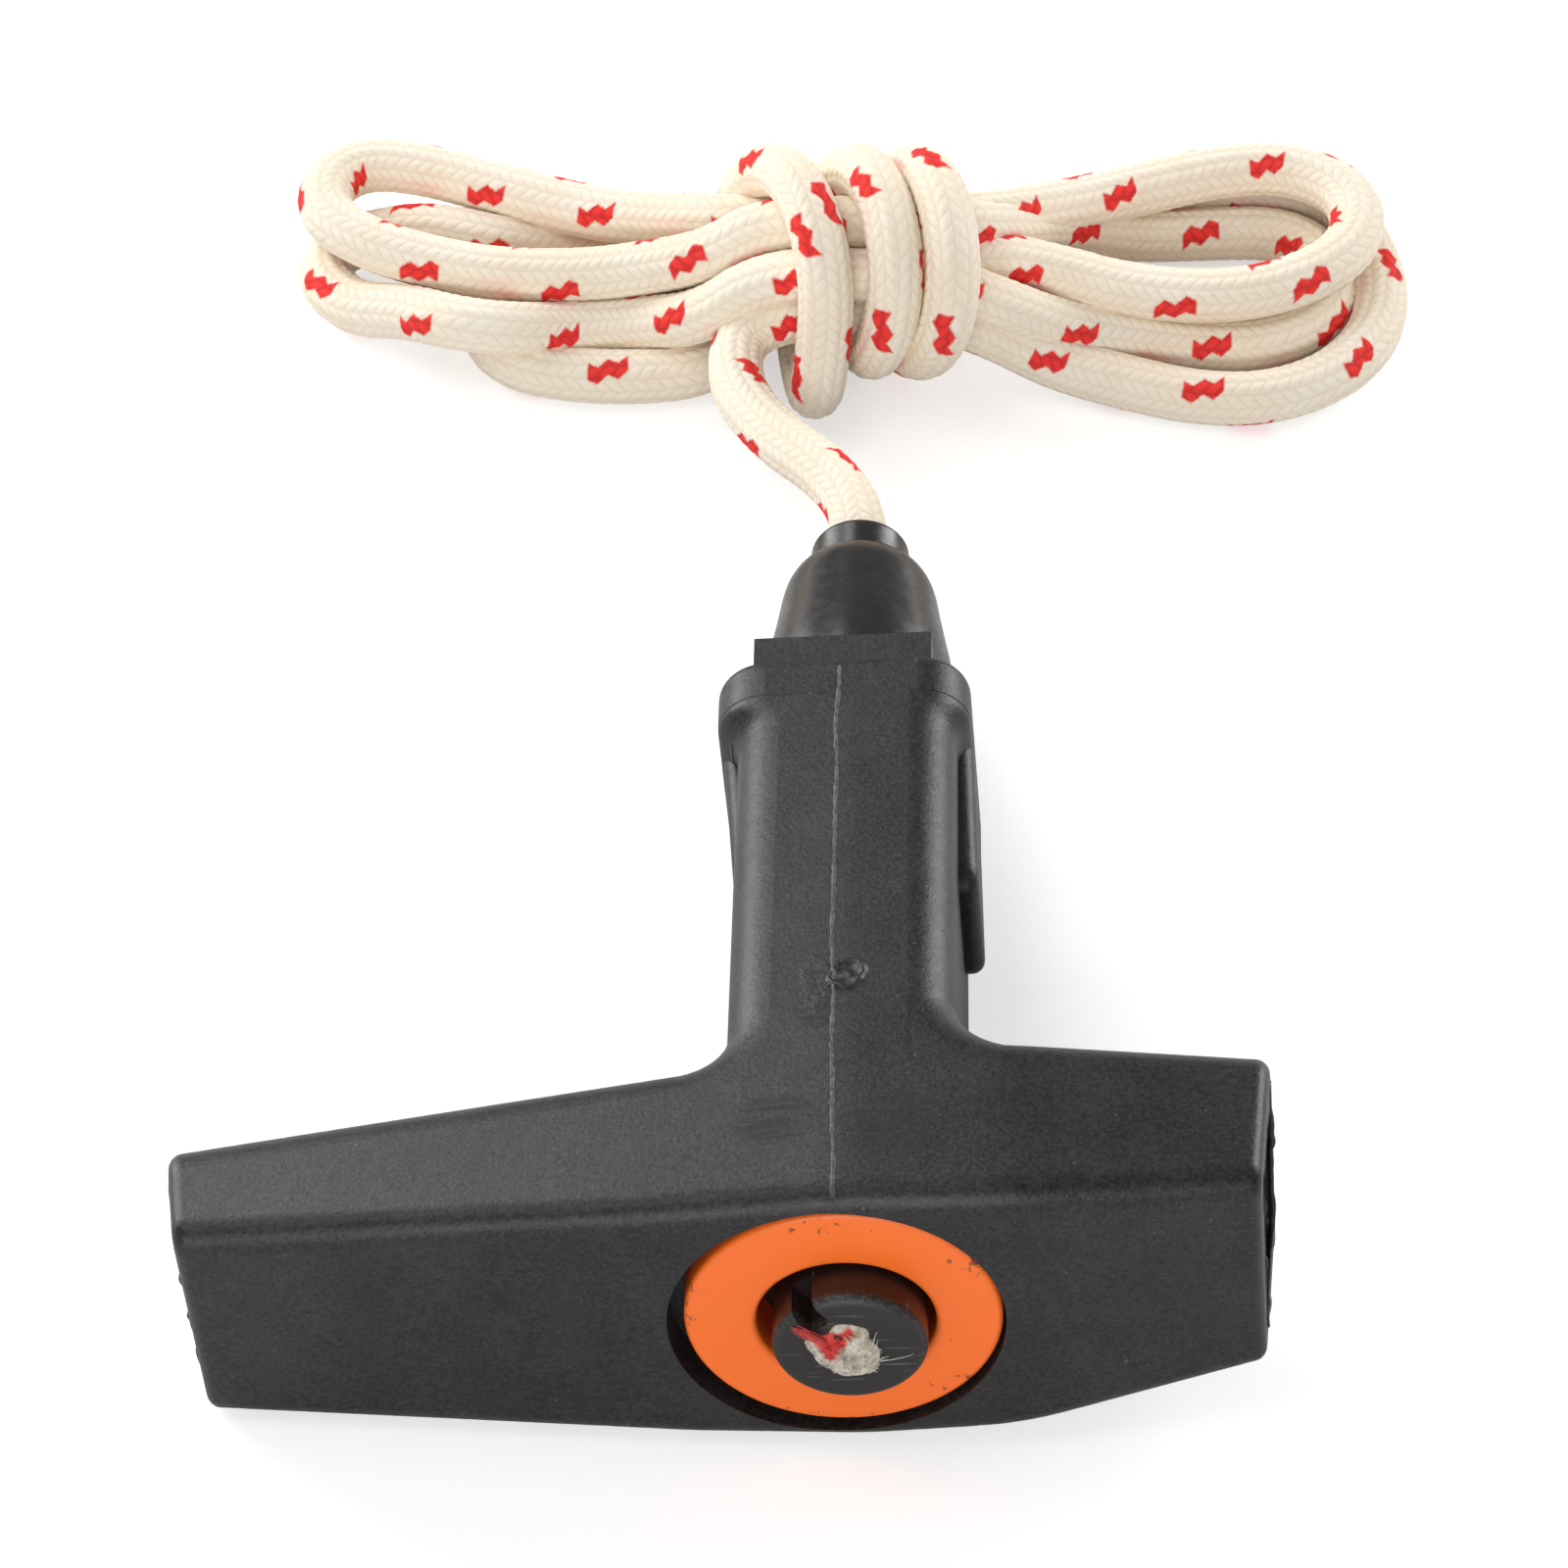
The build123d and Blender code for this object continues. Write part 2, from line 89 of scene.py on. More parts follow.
def makeCamera(view):
    up, side = math.radians(view["elevation"]), math.radians(view["azimuth"])
    back = Vector((math.sin(side) * math.cos(up), -math.cos(side) * math.cos(up), math.sin(up)))
    spot = Vector((ropeExit[0] + view["floorSpot"][0], ropeExit[1] + view["floorSpot"][1], 0))
    data = bpy.data.cameras.new("camera")
    data.lens, data.sensor_width = view["lens"], 36
    data.clip_start, data.clip_end = 0.01, 20
    camera = bpy.data.objects.new("camera", data)
    camera.location = (spot + back * view["distance"]) * mm
    tilt = Matrix.Rotation(math.radians(view["roll"]), 3, "Z").to_quaternion()
    camera.rotation_mode = "QUATERNION"
    camera.rotation_quaternion = back.to_track_quat("Z", "Y") @ tilt
    bpy.context.scene.collection.objects.link(camera)
    bpy.context.scene.camera = camera


makeCamera(cameraView)
print("camera ready")


def gridFaces(rows, columns, roundColumns=False, roundRows=False):
    # quads between neighbouring rows and columns of a grid, carried round where it closes on itself
    r = np.arange(rows if roundRows else rows - 1)[:, None]
    c = np.arange(columns if roundColumns else columns - 1)[None, :]
    nextRow, nextColumn = (r + 1) % rows, (c + 1) % columns
    quads = [r * columns + c, r * columns + nextColumn, nextRow * columns + nextColumn, nextRow * columns + c]
    return np.stack([np.broadcast_to(q, (r.size, c.size)) for q in quads], -1).reshape(-1, 4)


def volumeWithin(places, faces):
    # a sixth of the sum of triple products over the faces' triangles, which is negative inside out
    fans = [np.array([face for face in faces if len(face) == size]) for size in (3, 4)]
    triangles = [fan[:, [0, k, k + 1]] for fan, last in zip(fans, (2, 3)) if len(fan) for k in range(1, last)]
    a, b, c = places[np.concatenate(triangles)].transpose(1, 0, 2)
    return np.einsum("ij,ij->i", a, np.cross(b, c)).sum() / 6


def meshPiece(name, places, faces):
    # places in millimetres, faces as lists of point numbers of three or four corners each
    if volumeWithin(places - places.mean(0), faces) < 0:
        faces = [face[::-1] for face in faces]
    mesh = bpy.data.meshes.new(name)
    mesh.from_pydata((places * mm).tolist(), [], [list(face) for face in faces])
    mesh.polygons.foreach_set("use_smooth", [True] * len(mesh.polygons))
    mesh.update()
    piece = bpy.data.objects.new(name, mesh)
    bpy.context.scene.collection.objects.link(piece)
    return piece


def cappedTube(rings):
    # rings of points along a path, closed by a fan to the middle of the first and of the last ring
    count, around = rings.shape[:2]
    places = np.concatenate([rings.reshape(-1, 3), rings[0].mean(0)[None], rings[-1].mean(0)[None]])
    c = np.arange(around)
    first = np.stack([c, np.full(around, count * around), (c + 1) % around], 1)
    last = (count - 1) * around + np.stack([c, (c + 1) % around, np.full(around, around + 1)], 1)
    return places, gridFaces(count, around, roundColumns=True), first, last


def tubePiece(name, rings):
    places, side, first, last = cappedTube(rings)
    return meshPiece(name, places, [*side.tolist(), *first.tolist(), *last.tolist()])


def sideFrames(path):
    # two directions across a path that don't twist: each is the last one, less its share along the
    # new tangent
    tangents = np.gradient(path, axis=0)
    tangents /= np.linalg.norm(tangents, axis=1)[:, None]
    across = np.empty_like(path)
    across[0] = np.cross(tangents[0], (0.0, 0.0, 1.0))
    for i in range(1, len(path)):
        across[i] = across[i - 1] - tangents[i] * np.dot(across[i - 1], tangents[i])
        across[i] /= np.linalg.norm(across[i])
    return across, np.cross(across, tangents)


def waves(x, y, seed, size, count=5):
    # soft uneven relief between about -1 and 1: a sum of sine waves that run all ways, near one size
    draw = np.random.default_rng(seed)
    total = 0
    for k in range(count):
        angle, phase, scale = draw.uniform(0, turn), draw.uniform(0, turn), draw.uniform(0.6, 1.6)
        total = total + np.sin((x * math.cos(angle) + y * math.sin(angle)) * turn / (size * scale) + phase)
    return total / count ** 0.5 / 1.3


# Points of the rope's line: x to the right, y ahead and z up, from the floor under the knot of the hank
ropeSizes = {
    "diameter": 5.5,
    "knot": (-1.3, 40.51),     # from the nipple's mouth
    "length": 940,
    "ringStep": 0.475,         # distance between the mesh's rings
    "around": 48,
    "stitch": 1.3,             # braid, along the rope
    "columns": 12,             # and round it
    "stitchDepth": 0.15,
    "stitchLean": 0.8,         # how far a stitch runs along the rope, in stitches
    "uneven": 0.05,            # soft swelling and thinning
    "endRound": 1.6,           # length of the rounded free end
}
exitStretch = [(1.3, -40.51, 12.42), (1.3, -35.5, 12.18)]
leadPoints = [
    (-1.9, -28.7, 11.1), (-6.9, -22.7, 9.6), (-10.6, -16.4, 8.8),
    (-11.6, -11.2, 8.4), (-10.8, -7.4, 8.8), (-7.2, -5.7, 9.9), (-2.5, -5.2, 10.0),
]
rightOne = [
    (4.0, -4.6, 9.8), (9.5, -4.2, 9.2), (15.0, -4.0, 6.2), (21.0, -5.4, 3.5), (28.0, -7.2, 2.8), (35.0, -9.2, 2.75),
    (42.0, -9.2, 2.75), (48.5, -6.2, 2.75), (53.0, -0.8, 2.75), (54.4, 5.6, 2.75), (53.6, 12.0, 2.75),
    (51.0, 18.0, 2.75), (46.0, 20.8, 2.75), (38.0, 20.4, 2.75), (29.0, 18.2, 2.8), (21.0, 12.6, 3.5), (15.0, 7.4, 5.7),
]
leftOne = [
    (9.5, 3.9, 8.6), (0.0, 3.6, 8.8), (-9.0, 3.9, 8.4), (-15.0, 7.6, 4.7), (-21.0, 11.0, 2.9), (-27.0, 11.2, 2.9),
    (-32.0, 10.2, 3.8), (-37.0, 9.5, 5.6), (-43.0, 10.9, 6.0), (-48.5, 11.8, 4.2), (-52.4, 11.2, 3.0),
    (-54.2, 8.6, 2.75), (-53.4, 5.0, 2.8), (-50.2, 1.4, 3.3), (-45.0, -0.8, 5.4), (-40.0, -4.9, 7.8),
    (-35.0, -5.5, 7.6), (-29.0, -2.4, 4.6), (-22.0, -1.4, 4.6), (-15.0, -5.2, 9.0),
]
rightTwo = [
    (-9.0, -4.5, 14.2), (0.0, -4.4, 14.7), (9.5, -4.4, 13.6), (15.0, -4.0, 10.6), (21.0, -2.6, 6.2), (28.0, -1.4, 3.7),
    (35.0, -1.8, 2.9), (42.0, -1.6, 2.8), (47.5, 1.6, 2.8), (49.4, 6.6, 2.8), (48.4, 12.0, 2.8), (44.0, 15.2, 2.8),
    (37.0, 14.9, 2.8), (29.0, 13.9, 3.1), (21.0, 11.4, 6.8), (15.0, 5.8, 11.6),
]
leftTwo = [
    (9.5, 1.2, 16.2), (0.0, 0.8, 16.8), (-9.0, 0.9, 16.4), (-14.0, -0.6, 13.4), (-20.0, 1.2, 10.0), (-27.0, 1.7, 8.2),
    (-36.0, 1.8, 8.2), (-44.0, 3.8, 8.2), (-50.0, 6.4, 8.2), (-54.0, 10.2, 8.2), (-54.0, 14.8, 8.2), (-50.4, 18.0, 8.2),
    (-44.4, 17.4, 8.2), (-36.0, 14.3, 8.2), (-27.0, 11.0, 8.2), (-20.0, 8.8, 9.4), (-14.0, 5.8, 12.2),
]
rightThree = [
    (-9.0, 4.7, 13.4), (0.0, 4.7, 13.4), (9.5, 4.9, 13.6), (15.0, 7.6, 11.6), (22.0, 12.2, 8.8), (30.0, 15.8, 8.2),
    (38.0, 18.7, 8.1), (45.0, 19.2, 8.1), (50.8, 15.8, 8.1), (52.0, 10.4, 8.1), (49.4, 5.2, 8.1), (43.0, 1.0, 8.2),
    (36.0, -0.4, 8.2), (28.0, 0.6, 8.2), (21.0, 2.4, 9.0), (15.0, 1.8, 11.2),
]
leftThree = [
    (9.5, -0.4, 12.0), (0.0, -0.5, 11.8), (-9.0, -0.4, 11.0), (-15.0, 2.2, 7.0), (-22.0, 4.6, 3.3), (-29.0, 4.6, 2.8),
    (-34.0, 3.8, 2.75), (-36.8, 1.2, 2.75), (-36.6, -2.6, 2.75), (-33.4, -5.8, 2.75), (-28.0, -7.1, 2.8),
    (-22.0, -7.3, 2.8), (-15.4, -6.4, 2.8), (-11.0, -2.6, 2.8),
]
wrapShape = {
    "radius": 9.45,
    "height": 12.3,
    "start": -60.0,            # degrees round the knot, from ahead and up over the top
    "pointsATurn": 12,
    "points": 38,
    "angles": (-60, 42, 209, 402, 569, 762, 929, 1050),
    "places": (-9.4, -7.6, -4.8, 1.0, 1.2, 7.0, 6.6, 6.0),   # along the knot, at those angles
    "bow": 3.4,                # the wraps lean to the right as they come over to the near side
    "bowAngle": 145.0,
    "slack": 6.6,              # the first wrap hangs off the knot in front
    "slackAngle": 222.0,
    "slackSpread": 24.0,
}
tuckedEnd = [(7.4, 3.4, 3.4), (5.0, 4.0, 6.0), (1.6, 2.4, 8.6)]


def wrapPoints(shape):
    # a helix round the knot's line: the angle runs on evenly, the place along follows from the angle,
    # and the radius has one hump where the slack is
    degrees = shape["start"] + np.arange(shape["points"]) * 360 / shape["pointsATurn"]
    along = np.interp(degrees, shape["angles"], shape["places"])
    along = along + shape["bow"] * np.cos(np.radians(degrees - shape["bowAngle"]))
    hump = np.exp(-(((degrees - shape["slackAngle"]) / shape["slackSpread"]) ** 2))
    radius = shape["radius"] + shape["slack"] * hump
    y = radius * np.cos(np.radians(degrees))
    z = np.maximum(shape["height"] + radius * np.sin(np.radians(degrees)), ropeSizes["diameter"] / 2)
    return [tuple(point) for point in np.stack([along, y, z], 1)]


ropePoints = [
    *exitStretch, *leadPoints, *rightOne, *leftOne, *rightTwo, *leftTwo, *rightThree, *leftThree,
    *wrapPoints(wrapShape), *tuckedEnd,
]


def splinePath(points, offset, step):
    # the smooth line that a curve draws near its control points, measured out in even steps
    data = bpy.data.curves.new("ropeLine", "CURVE")
    data.dimensions = "3D"
    spline = data.splines.new("NURBS")
    spline.points.add(len(points) - 1)
    for point, place in zip(spline.points, points):
        point.co = ((offset[0] + place[0]) * mm, (offset[1] + place[1]) * mm, place[2] * mm, 1)
    spline.order_u = 3
    spline.use_endpoint_u = True
    data.resolution_u = spline.resolution_u = 12
    line = bpy.data.objects.new("ropeLine", data)
    mesh = bpy.data.meshes.new_from_object(line)
    flat = np.empty(len(mesh.vertices) * 3)
    mesh.vertices.foreach_get("co", flat)
    bpy.data.objects.remove(line)
    bpy.data.meshes.remove(mesh)
    path = flat.reshape(-1, 3) / mm
    run = np.concatenate([[0], np.cumsum(np.linalg.norm(np.diff(path, axis=0), axis=1))])
    even = np.linspace(0, run[-1], int(run[-1] / step))
    return np.stack([np.interp(even, run, path[:, k]) for k in range(3)], 1), even


def stitchHeight(along, around):
    # braid relief from 0 in the grooves to 1 on a stitch: columns of slanted stitches whose slant
    # turns from one column to the next
    column = around * ropeSizes["columns"]
    share, side = column % 1, np.floor(column) % 2
    lean = (share - 0.5) * (2 * side - 1) * ropeSizes["stitchLean"]
    slanted = along / ropeSizes["stitch"] + lean + side * 0.5
    return np.sqrt(np.abs(np.sin(math.pi * (slanted % 1)) * np.sin(math.pi * share)))


def makeRope():
    # circles carried along the rope's line, whose radius has the braid's relief and a soft unevenness,
    # and shrinks at the free end as the root of what is left
    offset = ropeExit[:2] + ropeSizes["knot"]
    path, along = splinePath(ropePoints, offset, ropeSizes["ringStep"])
    across, over = sideFrames(path)
    around = np.arange(ropeSizes["around"]) / ropeSizes["around"]
    relief = stitchHeight(along[:, None], around[None, :]) - 0.7
    soft = waves(along[:, None] + 0 * around[None, :], 17 * np.sin(turn * around)[None, :], 4, 26)
    ends = np.clip((along[-1] - along) / ropeSizes["endRound"], 0.02, 1)[:, None] ** 0.5
    radius = ropeSizes["diameter"] / 2 + relief * ropeSizes["stitchDepth"] + ropeSizes["uneven"] * soft
    radius = radius * ends
    angle = (around * turn)[None, :, None]
    rings = path[:, None] + radius[..., None] * (across[:, None] * np.cos(angle) + over[:, None] * np.sin(angle))
    rings[..., 2] = np.maximum(rings[..., 2], 0.02)   # pressed flat on the floor
    places, side, first, last = cappedTube(rings)
    piece = meshPiece("rope", places, [*side.tolist(), *first.tolist(), *last.tolist()])
    # each corner keeps its place along the rope and round it, in millimetres, for the braid and the flecks
    numbers = np.empty(len(piece.data.loops), int)
    piece.data.loops.foreach_get("vertex_index", numbers)
    ring, column = np.minimum(numbers // len(around), len(along) - 1), numbers % len(around)
    space = np.zeros((len(numbers), 3))
    space[:, 0] = along[ring]
    space[:, 1] = column / len(around)
    quads = space[: side.size].reshape(-1, 4, 3)
    quads[(quads[:, :, 1].max(1) > 0.9)[:, None] & (quads[:, :, 1] < 0.1), 1] = 1.0
    space[:, 1] *= ropeSizes["diameter"] * math.pi
    layer = piece.data.attributes.new("ropeSpace", "FLOAT_VECTOR", "CORNER")
    layer.data.foreach_set("vector", space.ravel())
    return piece, path


rope, ropePath = makeRope()
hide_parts("rope_lead", "rope_hank")
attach(rope, "rope_line")
print("rope laid")

# The rope inside the handle, a straight tube on the rope's line
insideRope = {
    "diameter": 5.5,
    "from": -1.5,      # down in the plug's shallow well
    "to": 95.6,
    "rings": 60,
    "around": 24,
}


def makeInsideRope(sizes):
    # circles round the rope's line, evenly from one end to the other
    y = np.linspace(sizes["from"], sizes["to"], sizes["rings"])[:, None]
    angle = (np.arange(sizes["around"]) / sizes["around"] * turn)[None, :]
    x = lieOfGrip["ropeSide"] + sizes["diameter"] / 2 * np.sin(angle)
    return tubePiece("ropeInside", gripPlace(x, y, sizes["diameter"] / 2 * np.cos(angle)))


ropeInside = makeInsideRope(insideRope)
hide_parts("rope_core")
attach(ropeInside, "rope_line")

# The rope's frayed end in the plug. Its outline lies on the plug's face, as seen from the palm, with
# x to the right and z up from the rope's line.
frayShape = {
    "face": -2.9,                 # the plug's face
    "outline": [
        (3.0, 0.1), (2.5, 1.6), (2.0, 2.9), (1.0, 3.8), (-0.2, 3.6), (-1.1, 2.5), (-2.1, 2.2), (-3.2, 1.5),
        (-2.7, -0.3), (-1.9, -1.7), (-0.5, -3.0), (1.2, -3.5), (2.5, -2.7), (3.2, -1.3),
    ],
    "middle": (0.1, 0.0),
    "height": 1.1,
    "reds": [(-1.0, 1.5, 1.1), (-1.9, 2.0, 0.7), (0.5, 2.7, 0.7), (-0.3, 1.8, 0.9), (-1.1, 0.3, 0.6)],
    "hairs": 60,
    "wellRadius": 3.83,           # the plug's well, filled up to its face
    "wellFloor": -2.0,
    "wellRim": 0.06,
    "ragged": 0.05,
    "hairThick": 0.04,
    "tuft": 46,                   # red fibres that lean out to the left
    "tuftThick": 0.07,
}


def makeWell(shape):
    # a flat disc with a rounded rim: circles whose radius and height follow a quarter round
    share = np.linspace(0, 1, 7)[:, None]
    rim = shape["wellRim"]
    reach = shape["wellRadius"] - rim * (1 - np.cos(share * math.pi / 2))
    reach = np.concatenate([[[shape["wellRadius"]]], reach, [[1.5]]])
    y = shape["face"] + rim + 0.01 - rim * np.sin(share * math.pi / 2)
    y = np.concatenate([[[shape["wellFloor"]]], y, [[shape["face"] + 0.02]]])
    spin = (np.arange(64) / 64 * turn)[None, :]
    return tubePiece("plugWell", gripPlace(lieOfGrip["ropeSide"] + reach * np.cos(spin), y, reach * np.sin(spin)))


def makeFray(shape):
    # a lumpy cushion: rings shrink from the outline to the middle while the height rises as the root
    # of one less the radius squared, with folds that run outwards
    rings, around = 26, 84
    outline = np.array(shape["outline"]) - shape["middle"]
    angles = np.unwrap(np.arctan2(outline[:, 1], outline[:, 0]))
    order = np.argsort(angles % turn)
    spin = np.arange(around) / around * turn
    reach = np.interp(spin, (angles % turn)[order], np.hypot(*outline.T)[order], period=turn)
    radius = np.linspace(1, 0.03, rings)[:, None]
    ragged = 1 + shape["ragged"] * waves(spin * 9, 0 * spin, 11, 5)
    x = shape["middle"][0] + radius * (reach * ragged * np.cos(spin))[None, :]
    z = shape["middle"][1] + radius * (reach * ragged * np.sin(spin))[None, :]
    folds = np.abs(waves(x * 0.6 + spin[None, :] * 2.4, z * 0.6, 5, 1.5)) * 0.34 + 0.16 * waves(x, z, 8, 0.7)
    hollow = 0.7 * np.exp(-((x + 0.4) ** 2 + (z - 1.8) ** 2) / 0.9)
    height = shape["height"] * np.sqrt(1 - (radius * 0.98) ** 2) * (0.75 + folds) - hollow * (1 - radius ** 4)
    places = gripPlace(x, shape["face"] + 0.5 - np.maximum(height, 0) - 0.25 * (radius < 0.97), z)
    flat = np.concatenate([places.reshape(-1, 3), places[-1].mean(0)[None], gripPlace(*np.array(
        [shape["middle"][0], shape["face"] + 0.9, shape["middle"][1]]))[None]])
    c = np.arange(around)
    top = (rings - 1) * around + np.stack([c, (c + 1) % around, np.full(around, around)], 1)
    bottom = np.stack([c, np.full(around, rings * around + 1), (c + 1) % around], 1)
    faces = [*gridFaces(rings, around, roundColumns=True).tolist(), *top.tolist(), *bottom.tolist()]
    piece = meshPiece("ropeFray", flat, faces)
    red = sum(np.exp(-(((x - a) ** 2 + (z - b) ** 2) / c ** 2) ** 2) for a, b, c in shape["reds"])
    red = np.clip(red * 1.6 - 0.3 + 0.35 * waves(x, z, 3, 0.8), 0, 1)
    layer = piece.data.attributes.new("redness", "FLOAT", "POINT")
    layer.data.foreach_set("value", np.concatenate([red.ravel(), [0.4, 0]]))
    return piece


def makeHairs(name, roots, tips, bend, radius, steps=9, sides=5):
    # each hair is a bent line from root to tip: the straight way plus a hump across it, as a thin tube
    t = np.linspace(0, 1, steps)[None, :, None]
    lines = roots[:, None] + (tips - roots)[:, None] * t + bend[:, None] * (t * (1 - t) * 4)
    tangents = np.gradient(lines, axis=1)
    tangents /= np.linalg.norm(tangents, axis=2, keepdims=True)
    across = np.cross(tangents, upwards)
    across /= np.linalg.norm(across, axis=2, keepdims=True)
    over = np.cross(across, tangents)
    angle = (np.arange(sides) / sides * turn)[None, None, :, None]
    thin = radius * (1 - 0.6 * t[..., None])
    tubes = lines[:, :, None] + thin * (across[:, :, None] * np.cos(angle) + over[:, :, None] * np.sin(angle))
    places, faces = [], []
    for tube in tubes:
        spots, side, first, last = cappedTube(tube)
        faces += [face for part in (side, first, last) for face in (part + len(places) * len(spots)).tolist()]
        places.append(spots)
    return meshPiece(name, np.concatenate(places), faces)


def frayHairs(shape):
    # pale hairs stand out of the fray to the right: roots and tips on two rings round the rope's line
    draw = np.random.default_rng(21)
    count = shape["hairs"]
    spin = draw.uniform(-0.9, 1.5, count)
    start = draw.uniform(1.4, 2.4, count)
    reach = start + draw.uniform(0.2, 1.1, count)
    low = shape["face"] - draw.uniform(0.2, 0.9, count)
    middle = lieOfGrip["ropeSide"]
    roots = gripPlace(middle + start * np.cos(spin), low, start * np.sin(spin))
    tips = gripPlace(middle + reach * np.cos(spin + 0.2), shape["face"] - draw.uniform(0.05, 0.7, count),
                     reach * np.sin(spin + draw.uniform(-0.4, 0.4, count)))
    # one long fibre lies out across the plug's face
    roots[0], tips[0] = gripPlace(
        np.array([2.9, 6.0]), shape["face"] - np.array([0.25, 0.06]), np.array([-1.2, -0.5]))
    return makeHairs("frayHairs", roots, tips, draw.normal(0, 0.2, (count, 3)), shape["hairThick"])


def redTuft(shape):
    # red fibres side by side from the fray's upper left out over the plug's rim
    draw = np.random.default_rng(5)
    count = shape["tuft"]
    share = draw.uniform(0, 1, count)
    roots = gripPlace(-1.2 - share * 1.2, shape["face"] - 0.35 - 0.3 * draw.uniform(0, 1, count), 1.8 + share * 0.7)
    far = draw.uniform(0, 1, count)
    tips = gripPlace(-2.3 - far * 2.0, shape["face"] - draw.uniform(0.1, 0.4, count),
                     2.4 + far * 1.3 + draw.normal(0, 0.22, count))
    return makeHairs("redTuft", roots, tips, draw.normal(0, 0.16, (count, 3)), shape["tuftThick"])


plugWell = makeWell(frayShape)
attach(plugWell, "rope_line")
ropeFray, paleHairs, redHairs = makeFray(frayShape), frayHairs(frayShape), redTuft(frayShape)
for piece in (ropeFray, paleHairs, redHairs):
    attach(piece, "rope_line")
print("frayed end made")

springSizes = {
    "from": 8.1,          # the plug's flange
    "to": 61.1,           # the nipple's shank
    "outside": 14.8,
    "wire": 1.8,
    "turns": 8.5,
    "closing": 0.055,     # share of its length that the end turns close up
    "play": 0.1,
    "travel": 9.0,
}


def makeSpring(sizes):
    # a wire circle carried along a helix on the rope's line, with its first and last turns closed up
    count, around = 420, 14
    t = np.linspace(0, 1, count)
    run = sizes["to"] - sizes["from"] - sizes["wire"] - 2 * sizes["play"]
    y = sizes["from"] + sizes["play"] + sizes["wire"] / 2 + run * (t - sizes["closing"] * np.sin(turn * t))
    spin = turn * sizes["turns"] * t
    radius = (sizes["outside"] - sizes["wire"]) / 2
    path = gripPlace(lieOfGrip["ropeSide"] + radius * np.cos(spin), y, radius * np.sin(spin))
    across, over = sideFrames(path)
    angle = (np.arange(around) / around * turn)[None, :, None]
    rings = path[:, None] + sizes["wire"] / 2 * (across[:, None] * np.cos(angle) + over[:, None] * np.sin(angle))
    return tubePiece("spring", rings)


spring = makeSpring(springSizes)
springEnd = gripPlace(lieOfGrip["ropeSide"], springSizes["to"], 0.0)
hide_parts("damper_spring")
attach(spring, "grip")
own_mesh(spring)
print("spring wound")

seamSizes = {
    "from": 0.8,
    "to": 66.6,
    "x": [(0.0, 0.1), (14.0, -0.1), (32.0, -0.3), (68.0, -0.3)],   # its place across, along the stem
    "width": 0.55,
    "height": 0.12,
    "ragged": 0.16,
    "wander": 0.12,
}
clearOfGrip = 30.0        # a distance from the stem's axis that is outside the stem and the bar
gripTree = BVHTree.FromObject(nodes["grip_body"], bpy.context.evaluated_depsgraph_get())


def gripSurface(x, y):
    # where a line across the grip meets its upper side, in the grip's own axes
    places = gripPlace(x, y, np.full_like(x, clearOfGrip)) * mm
    hits = [gripTree.ray_cast(Vector(place), Vector(-upwards))[0] for place in places.reshape(-1, 3)]
    found = np.array([tuple(hit) if hit else (0, 0, 0) for hit in hits]) / mm
    return ((found - gripZero) @ upwards).reshape(np.shape(x))


def makeSeam(sizes):
    # a low ridge: five points across, the middle ones lifted by a height that wavers along the line
    y = np.linspace(sizes["from"], sizes["to"], 420)
    x = np.interp(y, *zip(*sizes["x"])) + sizes["wander"] * waves(y, 0 * y, 2, 9) + 0.05 * waves(y, 0 * y, 7, 1.3)
    floor = gripSurface(x, y)
    ragged = np.clip(waves(y, 0 * y, 9, 1.1, 7) + 0.4 * waves(y, 0 * y, 12, 7), -0.6, 1.5)
    height = sizes["height"] + sizes["ragged"] * np.maximum(ragged, -0.3)
    share = np.array([-1.0, -0.45, 0.0, 0.4, 1.0, 0.0])
    lifted = np.array([-0.12, 0.6, 1.0, 0.6, -0.12, -0.3])
    across = x[:, None] + share * sizes["width"] / 2 * (1 + 0.3 * waves(y, 0 * y, 15, 2.2))[:, None]
    z = floor[:, None] + np.where(lifted > 0, lifted * height[:, None], lifted)
    return tubePiece("partingLine", gripPlace(across, y[:, None], z))


crotchSizes = {
    "stemSide": 10.3,
    "barRear": 20.0,
    "round": 5.8,          # between the stem and the short arm
    "edgeRound": 4.2,      # along the grip's rear edges
    "flatAt": 13.0,        # a place on the flat of the bar, whose slope carries on
    "slope": -0.0475,
    "reach": 4.6,          # how far its flat laps over the grip's, past the edge's round
}


